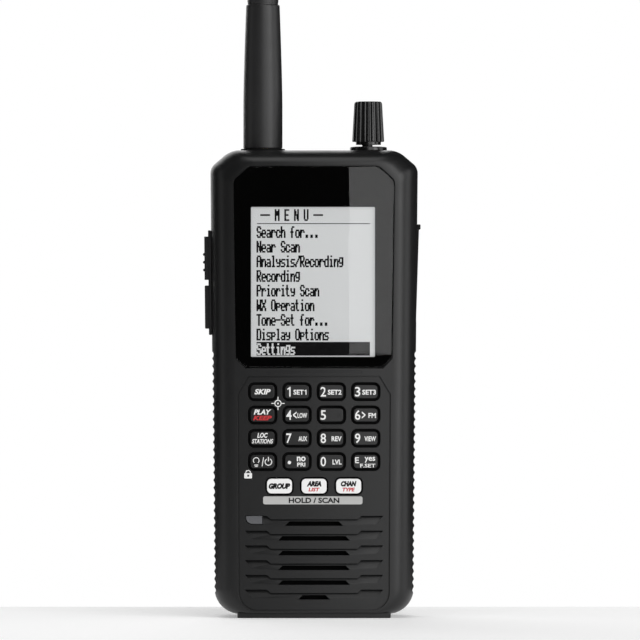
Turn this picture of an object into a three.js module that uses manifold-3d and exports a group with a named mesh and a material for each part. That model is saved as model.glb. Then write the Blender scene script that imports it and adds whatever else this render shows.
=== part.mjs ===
// Handheld scanning receiver, standing upright on its foot. Millimetres.
// +X is to the right of someone facing the display, -Y points out of the display, +Z is up.
// The origin is the middle of the flat foot under the case.

import * as THREE from 'three';
import { mergeVertices } from 'three/addons/utils/BufferGeometryUtils.js';
import Module from 'manifold-3d';

const wasm = await Module();
wasm.setup();

// ---------------------------------------------------------------- driving dimensions

// Fits
const REST = 0.1; // between faces that rest on each other
const FIT = 0.15; // around a piece that is set into another
const SLIDE = 0.25; // around a piece that moves in another
const CLEAR = 0.3; // between neighbours that don't touch

// Case
const CASE_WIDTH = 66.6; // across its top
const SIDE_TAPER = 1.4; // each side draws in by this much on the way down
const WALL = 2.0; // sides, top, bottom and back
const FRONT_WALL = 2.4;
const TOP_CORNER_ACROSS = 6.6; // the upper corners are cut off on the slant, with rounded ends
const TOP_CORNER_DOWN = 5.6;
const TOP_CORNER_ROUND = 8.0;
const TOP_CORNER_SIDE_ROUND = 4.0;
const BOTTOM_CORNER = 8.2; // radius of the outline's lower corners
const SHOULDER_SIDE = 7.2; // breadth of the rounded shoulder beside the display
const SHOULDER_TOP = 4.6;
const SHOULDER_BOTTOM = 0.9;
const SHOULDER_DEPTH = 8.0;
const BACK_SIDE = 6.5; // breadth of the rounded edges of the back
const BACK_END = 4.5;
const BACK_DEPTH = 6.0;
const SEAM = 0.3; // gap between the case halves
const FOOT_HALF = 24.6;
const FOOT_HEIGHT = 1.2;
const FOOT_INSET = 2.0; // from the front and back of the case

// Front face, stacked from the foot up
const PANEL_BORDER = 1.2;
const GRILLE_MARGIN = 3.6;
const LOUVRE_COUNT = 6;
const LOUVRE_PITCH = 4.72;
const LOUVRE_HEIGHT = 3.2;
const LABEL_GAP = 3.7;
const LABEL_HEIGHT = 2.6;
const BANK_GAP = 0.8;
const BANK_KEY_HEIGHT = 4.9;
const ROW_GAP = 2.85;
const KEY_HEIGHT = 5.1;
const KEY_GAP_Z = 2.35;
const PANEL_TOP_MARGIN = 2.45;
const WINDOW_GAP = 2.6;
const WINDOW_HEIGHT = 64.6;
const CROWN = 5.25;

// Keys
const KEY_WIDTH = 8.5;
const KEY_GAP_X = 2.5;
const KEY_CORNER = 1.3;
const KEY_PROUD = 0.9; // above the floor of the panel
const KEY_TRAVEL = 0.8;
const KEY_LIP = 0.6; // how far the lip behind the wall reaches past the cap
const BANK_KEY_WIDTH = 8.2;
const BANK_KEY_GAP = 2.87;
const PANEL_MARGIN_X = 3.75; // beside the outer keys
const PANEL_RECESS = 0.4;
const PANEL_CORNER = 6.0;
const PANEL_CHAMFER_X = 3.5;
const PANEL_CHAMFER_Z = 5.8;

// Louvres: each one slopes back from flush at its foot to its deep top edge
const LOUVRE_DEPTH = 1.0;
const LOUVRE_HALF = 22.0;
const LOUVRE_STEP_X = 14.0; // where its top edge steps down
const LOUVRE_STEP_Z = 1.1;
const LOUVRE_SLANT = 2.8; // its ends slant in by this much
const SLOT_HEIGHT = 1.45;
const SLOT_SLANT = 1.4;
const SLOT_HALVES = [9.3, 11.5, 11.5, 11.5, 11.5, 5.1]; // from the top row down
const LIGHT_LEFT = -21.8;
const LIGHT_RIGHT = -16.6;
const LIGHT_HEIGHT = 2.6;

// Window
const WINDOW_TOP_HALF = 25.8;
const WINDOW_BOTTOM_HALF = 25.0;
const WINDOW_TOP_ACROSS = 5.1;
const WINDOW_TOP_DOWN = 4.6;
const WINDOW_TOP_ROUND = 3.0;
const WINDOW_CHAMFER = 3.2;
const WINDOW_POCKET = 1.4;
const LENS = 1.2;
const WINDOW_LEDGE = 1.0;

// Front to back
const MAT = 1.2;
const SWITCH_GAP = 0.4;
const BOARD = 1.2;
const MODULE_BAY = 7.6;
const BAY_GAP = 0.6;
const BAY_WALL = 1.2;
const CELL_DIAMETER = 14.5;
const CELL_GAP = 0.4;
const COVER_GAP = 0.3;
const COVER = 1.8;

// Inner pieces
const LCD_HALF = 22.9;
const LCD_DEPTH = 4.0;
const LCD_MARGIN = 1.0; // from the ends of the window
const SPEAKER_RADIUS = 14.0;
const SPEAKER_DEPTH = 5.5;
const MESH_THICKNESS = 0.3;
const BOARD_SIDE_GAP = 6.3; // from the side of the case
const SHIELD = { left: -4.0, right: 18.0, drop: 7.6, height: 36.0, depth: 3.0, wall: 0.5 };

// Batteries
const CELL_LENGTH = 49.5;
const CELL_BUTTON = 1.0;
const CELL_BUTTON_RADIUS = 2.75;
const CELL_SPACING = 0.8;
const CONTACT_ROOM = 4.0; // between a cell and the contact plate at either end
const CONTACT_PLATE = 1.0;
const BAY_FLOOR = 10.8; // from the bottom of the case to the bay
const BAY_MARGIN = 2.0; // the cover reaches past the bay by this much
const COVER_TONGUE = 0.9;
const COVER_TRAVEL = 10.0;

// Screws
const SCREW_RADIUS = 1.0;
const SCREW_HEAD_RADIUS = 2.3;
const SCREW_HEAD = 1.6;
const SCREW_LENGTH = 13.0;
const BOSS_RADIUS = 2.6;
const LOW_SCREW_X = 20.0;
const LOW_SCREW_Z = 5.8; // above the bottom of the case
const HIGH_SCREW_X = 27.5;
const HIGH_SCREW_DROP = 19.0; // below the top of the case

// Top fittings
const ANTENNA_X = -16.5;
const KNOB_X = 17.44;
const EARPHONE_X = 0.5;
const TOP_REACH = 4.0; // from the axes of the top fittings back to the seam
const ANTENNA_HEIGHT = 151.0;
const ANTENNA_RADIUS = 6.3;
const ANTENNA_RING_HEIGHT = 47.4;
const ANTENNA_RING_RADIUS = 5.4;
const ANTENNA_TIP_RADIUS = 4.0;
const WASHER_RADIUS = 7.1;
const WASHER = 0.5;
const JACK_RADIUS = 3.15;
const JACK_HEIGHT = 8.0;
const CONNECTOR_WALL = 0.9;
const KNOB_TOP_RADIUS = 4.45;
const KNOB_BASE_RADIUS = 5.15;
const KNOB_SKIRT = 13.0;
const KNOB_FLUTES = 20;
const FLUTE_DEPTH = 0.35;
const NECK_RADIUS = 4.1;
const NECK = 0.95;
const PUSH_TRAVEL = 0.5;
const NUT_RADIUS = 6.0;
const NUT = 1.2;
const BUSHING_RADIUS = 3.4;
const SHAFT_RADIUS = 2.0;
const SHAFT_FLAT = 1.4; // from the axis to the flat of the shaft
const ENCODER_SIZE = 12.0;
const ENCODER_DEPTH = 6.8;
const ROTOR_RADIUS = 4.6;
const ROTOR = 2.4;
const EARPHONE_BORE = 1.8;
const EARPHONE_RADIUS = 3.0;
const EARPHONE_BODY = 10.0;

// Side fittings
const SIDE_STANDOFF = 2.5; // from the main board forward to their centre line
const BEZEL_DROP = 25.7; // below the top of the case
const BEZEL_LENGTH = 33.6;
const BEZEL_HALF = 4.0;
const BEZEL_PROUD = 1.0;
const BUTTON_HALF = 2.8;
const BUTTON_PROUD = 2.25;
const BUTTON_MARGIN = 2.0; // from the ends of the bezel
const BUTTON_GAP = 1.8;
const BUTTON_LIP = 0.6;
const BUTTON_TRAVEL = 0.8;
const BUTTON_RIDGE = 0.5;
const FLAP_DROP = 23.8; // below the top of the case
const FLAP_LENGTH = 29.4;
const FLAP_HALF = 3.6;
const FLAP = 0.9;
const FLAP_TAB = 1.6;
const FLAP_NOTCH = 1.9; // open below the flap, where its foot turns out
const PLUG_LENGTH = 9.2;
const PLUG_WIDTH = 3.6;
const PLUG_DEPTH = 1.6;
const PLUG_ROOM = 0.8;
const SOCKET = { length: 7.6, width: 3.9, depth: 7.2, wall: 0.4 };
const RIB_LOW = 7.5;
const RIB_GAP = 5.0; // from the topmost rib up to the side buttons
const RIB_PITCH = 2.44;
const RIB_DEPTH = 0.45;
const RIB_FRONT = 4.4; // from the front of the case
const RIB_BACK = 3.4; // from its back

// Belt clip
const CLIP_HALF = 10.0;
const CLIP_THICKNESS = 1.8;
const CLIP_GAP = 8.0; // from the back of the case to the clip
const CLIP_TOE = 82.0;
const CLIP_PIN_Z = 116.0;
const CLIP_THUMB = 134.0;
const CLIP_PIN_RADIUS = 1.2;
const CLIP_HUB = 2.6;
const CLIP_PIN_GAP = 3.5; // from the pin's axis to the clip's inner face
const BRACKET_HALF = 11.0;
const BRACKET_LOW = 96.0;
const BRACKET_HIGH = 128.0;
const BRACKET = 1.6;
const BRACKET_RECESS = 0.6;
const BRACKET_SCREW_Z = 103.0;
const EAR = 2.0;
const CHEEK = 3.4;
const SPRING_WIRE = 0.35;

// ---------------------------------------------------------------- levels worked out from them

const PANEL_LOW = FOOT_HEIGHT + PANEL_BORDER;
const GRILLE_LOW = PANEL_LOW + GRILLE_MARGIN;
const GRILLE_HIGH = GRILLE_LOW + (LOUVRE_COUNT - 1) * LOUVRE_PITCH + LOUVRE_HEIGHT;
const BANK_LOW = GRILLE_HIGH + LABEL_GAP + LABEL_HEIGHT + BANK_GAP;
const KEYS_LOW = BANK_LOW + BANK_KEY_HEIGHT + ROW_GAP;
const KEYS_HIGH = KEYS_LOW + 4 * KEY_HEIGHT + 3 * KEY_GAP_Z;
const PANEL_HIGH = KEYS_HIGH + PANEL_TOP_MARGIN;
const WINDOW_LOW = PANEL_HIGH + WINDOW_GAP;
const WINDOW_HIGH = WINDOW_LOW + WINDOW_HEIGHT;
const CASE_TOP = WINDOW_HIGH + CROWN;

const FRONT_STACK = FRONT_WALL + MAT + KEY_TRAVEL + SWITCH_GAP + BOARD + MODULE_BAY + BOARD;
const BACK_STACK = BAY_GAP + BAY_WALL + 2 * CELL_GAP + CELL_DIAMETER + COVER_GAP + COVER;
const FRONT = -(FRONT_STACK + BACK_STACK) / 2;
const BACK = -FRONT;
const PANEL_FLOOR = FRONT + PANEL_RECESS;
const WALL_BACK = FRONT + FRONT_WALL;
const MAT_BACK = WALL_BACK + MAT;
const KEYPAD_BOARD_FRONT = MAT_BACK + KEY_TRAVEL + SWITCH_GAP;
const MAIN_BOARD_BACK = FRONT + FRONT_STACK;
const MAIN_BOARD_FRONT = MAIN_BOARD_BACK - BOARD;
const BAY_FRONT = MAIN_BOARD_BACK + BAY_GAP + BAY_WALL;
const CELL_Y = BAY_FRONT + CELL_GAP + CELL_DIAMETER / 2;
const COVER_FRONT = BACK - COVER;
const SIDE_Y = MAIN_BOARD_FRONT - SIDE_STANDOFF;
const TOP_Y = 0;
const PARTING = TOP_Y + TOP_REACH;
const SHELL_TOP = CASE_TOP - WALL; // inner face of the top wall

const KEY_PITCH_X = KEY_WIDTH + KEY_GAP_X;
const KEY_PITCH_Z = KEY_HEIGHT + KEY_GAP_Z;
const KEYS_HALF = 2 * KEY_WIDTH + 1.5 * KEY_GAP_X;
const PANEL_HALF = KEYS_HALF + PANEL_MARGIN_X;
const MAT_HALF = KEYS_HALF + KEY_LIP + SLIDE + 1.0;

const BEZEL_HIGH = CASE_TOP - BEZEL_DROP;
const BEZEL_LOW = BEZEL_HIGH - BEZEL_LENGTH;
const FLAP_HIGH = CASE_TOP - FLAP_DROP;
const FLAP_LOW = FLAP_HIGH - FLAP_LENGTH;
const RIB_COUNT = Math.floor((BEZEL_LOW - RIB_GAP - RIB_LOW) / RIB_PITCH);

const BAY_LOW = FOOT_HEIGHT + BAY_FLOOR;
const CELL_LOW = BAY_LOW + REST + CONTACT_PLATE + CONTACT_ROOM;
const CELL_HIGH = CELL_LOW + CELL_LENGTH + CELL_BUTTON;
const BAY_HIGH = CELL_HIGH + CONTACT_ROOM + CONTACT_PLATE + REST;
const CELL_PITCH = CELL_DIAMETER + CELL_SPACING;
const BAY_HALF = 1.5 * CELL_DIAMETER + 2 * CELL_SPACING;
const COVER_HALF = BAY_HALF + BAY_MARGIN;
const COVER_LOW = FOOT_HEIGHT + BANK_GAP;
const COVER_HIGH = BAY_HIGH + BAY_MARGIN;

const CLIP_INNER = BACK + CLIP_GAP;
const CLIP_PIN_Y = CLIP_INNER - CLIP_PIN_GAP;
const BRACKET_FRONT = BACK - BRACKET_RECESS + REST;
const BRACKET_BACK = BRACKET_FRONT + BRACKET;

// Half the width of the case at a height, on its straight sides
function halfWidth(z) {
  return CASE_WIDTH / 2 - SIDE_TAPER * (CASE_TOP - z) / (CASE_TOP - FOOT_HEIGHT);
}

// The shoulder is as broad as drawn where the window and the keys leave room for it
const FACE_NEED = Math.max(WINDOW_TOP_HALF, PANEL_HALF + SIDE_TAPER);
const FACE_SIDE = Math.min(SHOULDER_SIDE, CASE_WIDTH / 2 - FACE_NEED - CLEAR);
const BACK_NEED = COVER_HALF + COVER_TONGUE;
const REAR_SIDE = Math.min(BACK_SIDE, CASE_WIDTH / 2 - SIDE_TAPER / 2 - BACK_NEED + CLEAR);

// ---------------------------------------------------------------- outlines

// Corners given as [across, up, radius] run anticlockwise; a corner without a radius stays sharp
function outline(corners, steps = 4) {
  const points = [];
  corners.forEach(([u, v, radius = 0], i) => {
    const last = corners[(i + corners.length - 1) % corners.length];
    const next = corners[(i + 1) % corners.length];
    const corner = new THREE.Vector2(u, v);
    if (radius === 0) {
      points.push(corner);
      return;
    }
    const before = new THREE.Vector2(last[0], last[1]).sub(corner).normalize();
    const after = new THREE.Vector2(next[0], next[1]).sub(corner).normalize();
    const half = Math.acos(before.dot(after)) / 2;
    const centre = before.clone().add(after).setLength(radius / Math.sin(half)).add(corner);
    const start = corner.clone().addScaledVector(before, radius / Math.tan(half)).sub(centre);
    const turn = Math.PI - 2 * half;
    for (let step = 0; step <= steps; step += 1) {
      const angle = start.angle() + turn * step / steps;
      points.push(new THREE.Vector2(Math.cos(angle), Math.sin(angle)).multiplyScalar(radius).add(centre));
    }
  });
  return points;
}

function rectangle(u0, u1, v0, v1, radius = 0, steps = 3) {
  return outline([[u0, v0, radius], [u1, v0, radius], [u1, v1, radius], [u0, v1, radius]], steps);
}

function circle(u, v, radius, sides = 16) {
  const points = [];
  for (let side = 0; side < sides; side += 1) {
    const angle = 2 * Math.PI * side / sides;
    points.push(new THREE.Vector2(u + radius * Math.cos(angle), v + radius * Math.sin(angle)));
  }
  return points;
}

// ---------------------------------------------------------------- solids

function solid(geometry) {
  const bare = geometry.clone();
  bare.deleteAttribute('normal');
  bare.deleteAttribute('uv');
  const merged = mergeVertices(bare, 1e-4);
  return new wasm.Manifold(new wasm.Mesh({
    numProp: 3,
    vertProperties: new Float32Array(merged.attributes.position.array),
    triVerts: new Uint32Array(merged.index.array),
  }));
}

function geometryOf(manifold) {
  const { vertProperties, triVerts } = manifold.getMesh();
  const geometry = new THREE.BufferGeometry();
  geometry.setAttribute('position', new THREE.BufferAttribute(vertProperties, 3));
  geometry.setIndex(new THREE.BufferAttribute(triVerts, 1));
  geometry.computeVertexNormals();
  return geometry;
}

// Outlines lie in X and Z (pushed back along Y), in Y and Z (pushed along X) or in X and Y (raised)
const UPRIGHT = new THREE.Matrix4().makeBasis(
  new THREE.Vector3(1, 0, 0), new THREE.Vector3(0, 0, 1), new THREE.Vector3(0, -1, 0));
const SIDEWAYS = new THREE.Matrix4().makeBasis(
  new THREE.Vector3(0, 1, 0), new THREE.Vector3(0, 0, 1), new THREE.Vector3(1, 0, 0));

function raised(points, z0, z1) {
  const geometry = new THREE.ExtrudeGeometry(new THREE.Shape(points), {
    depth: z1 - z0,
    bevelEnabled: false,
  });
  return geometry.translate(0, 0, z0);
}

function alongZ(points, z0, z1) {
  return solid(raised(points, z0, z1));
}

function alongY(points, y0, y1) {
  return solid(raised(points, -y1, -y0).applyMatrix4(UPRIGHT));
}

function alongX(points, x0, x1) {
  return solid(raised(points, x0, x1).applyMatrix4(SIDEWAYS));
}

function block(x0, x1, y0, y1, z0, z1) {
  const box = new THREE.BoxGeometry(x1 - x0, y1 - y0, z1 - z0);
  return solid(box.translate((x0 + x1) / 2, (y0 + y1) / 2, (z0 + z1) / 2));
}

// A profile of [radius, height] that starts and ends on the axis, turned about Z at (x, y)
function turned(profile, x, y, sides = 20) {
  const points = profile.map(([radius, height]) => new THREE.Vector2(radius, height));
  return solid(new THREE.LatheGeometry(points, sides).rotateX(Math.PI / 2).translate(x, y, 0));
}

function joined(first, ...others) {
  return others.reduce((whole, piece) => whole.add(piece), first);
}

function cut(first, ...others) {
  return others.reduce((whole, piece) => whole.subtract(piece), first);
}

// Rings of equal length, one above another, skinned into a closed solid
function loft(rings, levels, frame = null) {
  const count = rings[0].length;
  const positions = rings.flatMap((ring, r) => ring.flatMap((point) => [point.x, point.y, levels[r]]));
  const index = [];
  for (let r = 0; r + 1 < rings.length; r += 1) {
    for (let i = 0; i < count; i += 1) {
      const next = (i + 1) % count;
      const low = r * count;
      const high = low + count;
      index.push(low + i, low + next, high + next, low + i, high + next, high + i);
    }
  }
  const top = (rings.length - 1) * count;
  THREE.ShapeUtils.triangulateShape(rings[0], []).forEach(([a, b, c]) => index.push(a, c, b));
  THREE.ShapeUtils.triangulateShape(rings[rings.length - 1], []).forEach(([a, b, c]) => {
    index.push(top + a, top + b, top + c);
  });
  const geometry = new THREE.BufferGeometry();
  geometry.setAttribute('position', new THREE.Float32BufferAttribute(positions, 3));
  geometry.setIndex(index);
  return solid(frame ? geometry.applyMatrix4(frame) : geometry);
}

// A round wire along a list of points
function wire(points, radius, steps) {
  const path = new THREE.CatmullRomCurve3(points);
  const section = new THREE.Shape(circle(0, 0, radius, 5));
  return solid(new THREE.ExtrudeGeometry(section, { steps, bevelEnabled: false, extrudePath: path }));
}

// ---------------------------------------------------------------- finishes and the scene graph

function finish(color, roughness, metalness = 0) {
  return new THREE.MeshStandardMaterial({ color, roughness, metalness });
}

const CASE_PLASTIC = finish(0x2a2b2d, 0.55);
const KEY_PLASTIC = finish(0x1c1d1f, 0.45);
const WHITE_PLASTIC = finish(0xdfe0e0, 0.4);
const KNOB_PLASTIC = finish(0x101012, 0.25);
const LENS_PLASTIC = finish(0x08090a, 0.08);
const LIGHT_PLASTIC = finish(0x6a6c70, 0.35);
const RUBBER = finish(0x1a1a1b, 0.8);
const LCD_GLASS = finish(0xc4c8cc, 0.3);
const BOARD_GREEN = finish(0x1d5a38, 0.5);
const STEEL = finish(0xb9bcc0, 0.35, 1);
const BRASS = finish(0xc9a654, 0.35, 1);
const SPEAKER_PAPER = finish(0x3a3a3c, 0.9);
const CELL_JACKET = finish(0x2e6f9e, 0.4);

function part(name, material, shape, x = 0, y = 0, z = 0) {
  const geometry = shape.isBufferGeometry ? shape : geometryOf(shape);
  const mesh = new THREE.Mesh(geometry, material);
  mesh.name = name;
  mesh.position.set(x, y, z);
  return mesh;
}

function group(...members) {
  const set = new THREE.Group();
  set.add(...members);
  return set;
}

// ---------------------------------------------------------------- the case's outer and inner forms

function caseRing(side, top, bottom) {
  const low = FOOT_HEIGHT + bottom;
  const high = CASE_TOP - top;
  const lowHalf = halfWidth(low) - side;
  const highHalf = halfWidth(high) - side;
  const lowCorner = BOTTOM_CORNER - (side + bottom) / 4;
  const across = TOP_CORNER_ACROSS - side / 4;
  const down = TOP_CORNER_DOWN - top / 4;
  return outline([
    [-lowHalf, low, lowCorner],
    [lowHalf, low, lowCorner],
    [highHalf, high - down, TOP_CORNER_SIDE_ROUND],
    [highHalf - across, high, TOP_CORNER_ROUND],
    [-highHalf + across, high, TOP_CORNER_ROUND],
    [-highHalf, high - down, TOP_CORNER_SIDE_ROUND],
  ], 5);
}

// From a flat face, round a quarter-round edge, along the straight sides to `end`
function caseForm(inset, face, end, edge) {
  const steps = 5;
  const toEnd = Math.sign(end - face);
  const rings = [];
  const depths = [];
  for (let step = 0; step <= steps; step += 1) {
    const angle = Math.PI / 2 * step / steps;
    const share = 1 - Math.sin(angle);
    rings.push(caseRing(inset + edge.side * share, inset + edge.top * share, inset + edge.bottom * share));
    depths.push(face + toEnd * edge.depth * (1 - Math.cos(angle)));
  }
  rings.push(caseRing(inset, inset, inset));
  depths.push(end);
  const levels = depths.map((depth) => -depth);
  if (toEnd > 0) {
    rings.reverse();
    levels.reverse();
  }
  return loft(rings, levels, UPRIGHT);
}

const FRONT_EDGE = { side: FACE_SIDE, top: SHOULDER_TOP, bottom: SHOULDER_BOTTOM, depth: SHOULDER_DEPTH };
const FRONT_INNER_EDGE = {
  side: FACE_SIDE - WALL,
  top: SHOULDER_TOP - WALL,
  bottom: 0.3,
  depth: SHOULDER_DEPTH - FRONT_WALL,
};
const BACK_EDGE = { side: REAR_SIDE, top: BACK_END, bottom: BACK_END, depth: BACK_DEPTH };
const BACK_INNER_EDGE = {
  side: REAR_SIDE - WALL,
  top: BACK_END - WALL,
  bottom: BACK_END - WALL,
  depth: BACK_DEPTH - WALL,
};

// ---------------------------------------------------------------- keys

function keyCentres() {
  const centres = [];
  for (let row = 0; row < 4; row += 1) {
    for (let column = 0; column < 4; column += 1) {
      centres.push({
        x: (column - 1.5) * KEY_PITCH_X,
        z: KEYS_HIGH - KEY_HEIGHT / 2 - row * KEY_PITCH_Z,
        width: KEY_WIDTH,
        height: KEY_HEIGHT,
      });
    }
  }
  for (let column = -1; column <= 1; column += 1) {
    centres.push({
      x: column * (BANK_KEY_WIDTH + BANK_KEY_GAP),
      z: BANK_LOW + BANK_KEY_HEIGHT / 2,
      width: BANK_KEY_WIDTH,
      height: BANK_KEY_HEIGHT,
    });
  }
  return centres;
}

const KEYS = keyCentres();
const KEY_NAMES = [
  'key_skip', 'key_1', 'key_2', 'key_3',
  'key_replay', 'key_4', 'key_5', 'key_6',
  'key_zone', 'key_7', 'key_8', 'key_9',
  'key_power', 'key_dot', 'key_0', 'key_enter',
  'key_bank', 'key_group', 'key_channel',
];

function keyOutline(key, margin) {
  const half = key.width / 2 + margin;
  const rise = key.height / 2 + margin;
  return rectangle(key.x - half, key.x + half, key.z - rise, key.z + rise, KEY_CORNER + margin, 2);
}

function keyCap({ width, height }) {
  const key = { x: 0, z: 0, width, height };
  const half = width / 2 + KEY_LIP;
  const rise = height / 2 + KEY_LIP;
  return joined(
    alongY(keyOutline(key, 0), PANEL_FLOOR - KEY_PROUD, MAT_BACK - REST),
    block(-half, half, WALL_BACK + REST, MAT_BACK, -rise, rise),
  );
}

function keypad() {
  const keyShape = geometryOf(keyCap(KEYS[0]));
  const bankShape = geometryOf(keyCap(KEYS[KEYS.length - 1]));
  return group(...KEYS.map((key, i) => {
    const banked = key.width === BANK_KEY_WIDTH;
    const material = banked ? WHITE_PLASTIC : KEY_PLASTIC;
    return part(KEY_NAMES[i], material, banked ? bankShape : keyShape, key.x, 0, key.z);
  }));
}

function keypadMat() {
  const low = BANK_LOW - KEY_LIP - SLIDE - 1.0;
  const high = KEYS_HIGH + KEY_LIP + SLIDE + 0.6;
  const sheet = alongY(rectangle(-MAT_HALF, MAT_HALF, low, high, 1.5), WALL_BACK + REST, MAT_BACK);
  const holes = KEYS.map((key) => {
    const half = key.width / 2 + KEY_LIP + SLIDE;
    const rise = key.height / 2 + KEY_LIP + SLIDE;
    return block(key.x - half, key.x + half, WALL_BACK - 1, MAT_BACK + 1, key.z - rise, key.z + rise);
  });
  return cut(sheet, ...holes);
}

// ---------------------------------------------------------------- front case

function windowOutline(margin) {
  const low = WINDOW_LOW - margin;
  const high = WINDOW_HIGH + margin;
  const bottom = WINDOW_BOTTOM_HALF + margin;
  const top = WINDOW_TOP_HALF + margin;
  const slope = (top - bottom) / (high - low);
  const cornerHalf = bottom + slope * WINDOW_CHAMFER;
  return outline([
    [-bottom + WINDOW_CHAMFER, low],
    [bottom - WINDOW_CHAMFER, low],
    [cornerHalf, low + WINDOW_CHAMFER],
    [top, high - WINDOW_TOP_DOWN, WINDOW_TOP_ROUND],
    [top - WINDOW_TOP_ACROSS, high, WINDOW_TOP_ROUND],
    [-top + WINDOW_TOP_ACROSS, high, WINDOW_TOP_ROUND],
    [-top, high - WINDOW_TOP_DOWN, WINDOW_TOP_ROUND],
    [-cornerHalf, low + WINDOW_CHAMFER],
  ], 4);
}

function panelOutline() {
  return outline([
    [-PANEL_HALF, PANEL_LOW, PANEL_CORNER],
    [PANEL_HALF, PANEL_LOW, PANEL_CORNER],
    [PANEL_HALF, PANEL_HIGH - PANEL_CHAMFER_Z],
    [PANEL_HALF - PANEL_CHAMFER_X, PANEL_HIGH],
    [-PANEL_HALF + PANEL_CHAMFER_X, PANEL_HIGH],
    [-PANEL_HALF, PANEL_HIGH - PANEL_CHAMFER_Z],
  ], 4);
}

function louvreRow(row) {
  const low = GRILLE_LOW + (LOUVRE_COUNT - 1 - row) * LOUVRE_PITCH;
  const high = low + LOUVRE_HEIGHT;
  const deep = PANEL_FLOOR + LOUVRE_DEPTH;
  const wedge = alongX(
    [[PANEL_FLOOR - 1, low - 1.5], [PANEL_FLOOR, low], [deep, high], [PANEL_FLOOR - 1, high]]
      .map(([y, z]) => new THREE.Vector2(y, z)), -LOUVRE_HALF, LOUVRE_HALF);
  const stepped = alongY(outline([
    [-LOUVRE_HALF + LOUVRE_SLANT, low],
    [LOUVRE_HALF - LOUVRE_SLANT, low],
    [LOUVRE_HALF, high],
    [LOUVRE_STEP_X + LOUVRE_STEP_Z, high],
    [LOUVRE_STEP_X, high - LOUVRE_STEP_Z],
    [-LOUVRE_STEP_X, high - LOUVRE_STEP_Z],
    [-LOUVRE_STEP_X - LOUVRE_STEP_Z, high],
    [-LOUVRE_HALF, high],
  ]), FRONT - 1, WALL_BACK);
  const half = SLOT_HALVES[row];
  const slot = alongY(outline([
    [-half, low],
    [half, low],
    [half - SLOT_SLANT, low + SLOT_HEIGHT],
    [-half + SLOT_SLANT, low + SLOT_HEIGHT],
  ]), FRONT - 1, WALL_BACK + 1);
  return joined(wedge.intersect(stepped), slot);
}

function lightOutline(margin) {
  return outline([
    [LIGHT_LEFT - margin, GRILLE_HIGH - LIGHT_HEIGHT - margin, LIGHT_HEIGHT * 0.8],
    [LIGHT_RIGHT + margin, GRILLE_HIGH - LIGHT_HEIGHT - margin],
    [LIGHT_RIGHT + margin, GRILLE_HIGH + margin],
    [LIGHT_LEFT - margin, GRILLE_HIGH + margin],
  ], 4);
}

// A zigzag of grip ribs down one side, from just outside the case to the bottoms of its grooves
function ribGrooves(side, front, back) {
  const zigzag = [];
  for (let rib = 0; rib <= RIB_COUNT; rib += 1) {
    const z = RIB_LOW + rib * RIB_PITCH;
    zigzag.push([side * halfWidth(z), z]);
    if (rib < RIB_COUNT) {
      const middle = z + RIB_PITCH / 2;
      zigzag.push([side * (halfWidth(middle) - RIB_DEPTH), middle]);
    }
  }
  const top = zigzag[zigzag.length - 1];
  zigzag.push([side * (CASE_WIDTH / 2 + 1), top[1]], [side * (CASE_WIDTH / 2 + 1), RIB_LOW]);
  return alongY(zigzag.map(([x, z]) => new THREE.Vector2(x, z)), front, back);
}

// A band of the side wall: from `out` beyond the side's surface to `inward` below it
function sideBand(side, z0, z1, y0, y1, out, inward) {
  const points = [
    [side * (halfWidth(z0) - inward), z0],
    [side * (halfWidth(z0) + out), z0],
    [side * (halfWidth(z1) + out), z1],
    [side * (halfWidth(z1) - inward), z1],
  ];
  return alongY(points.map(([x, z]) => new THREE.Vector2(x, z)), y0, y1);
}

const SCREW_PLACES = [
  [-LOW_SCREW_X, FOOT_HEIGHT + LOW_SCREW_Z],
  [LOW_SCREW_X, FOOT_HEIGHT + LOW_SCREW_Z],
  [-HIGH_SCREW_X, CASE_TOP - HIGH_SCREW_DROP],
  [HIGH_SCREW_X, CASE_TOP - HIGH_SCREW_DROP],
];
const SCREW_HEAD_FRONT = COVER_FRONT - COVER_GAP - REST - SCREW_HEAD;
const SCREW_TIP = SCREW_HEAD_FRONT - SCREW_LENGTH;

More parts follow.
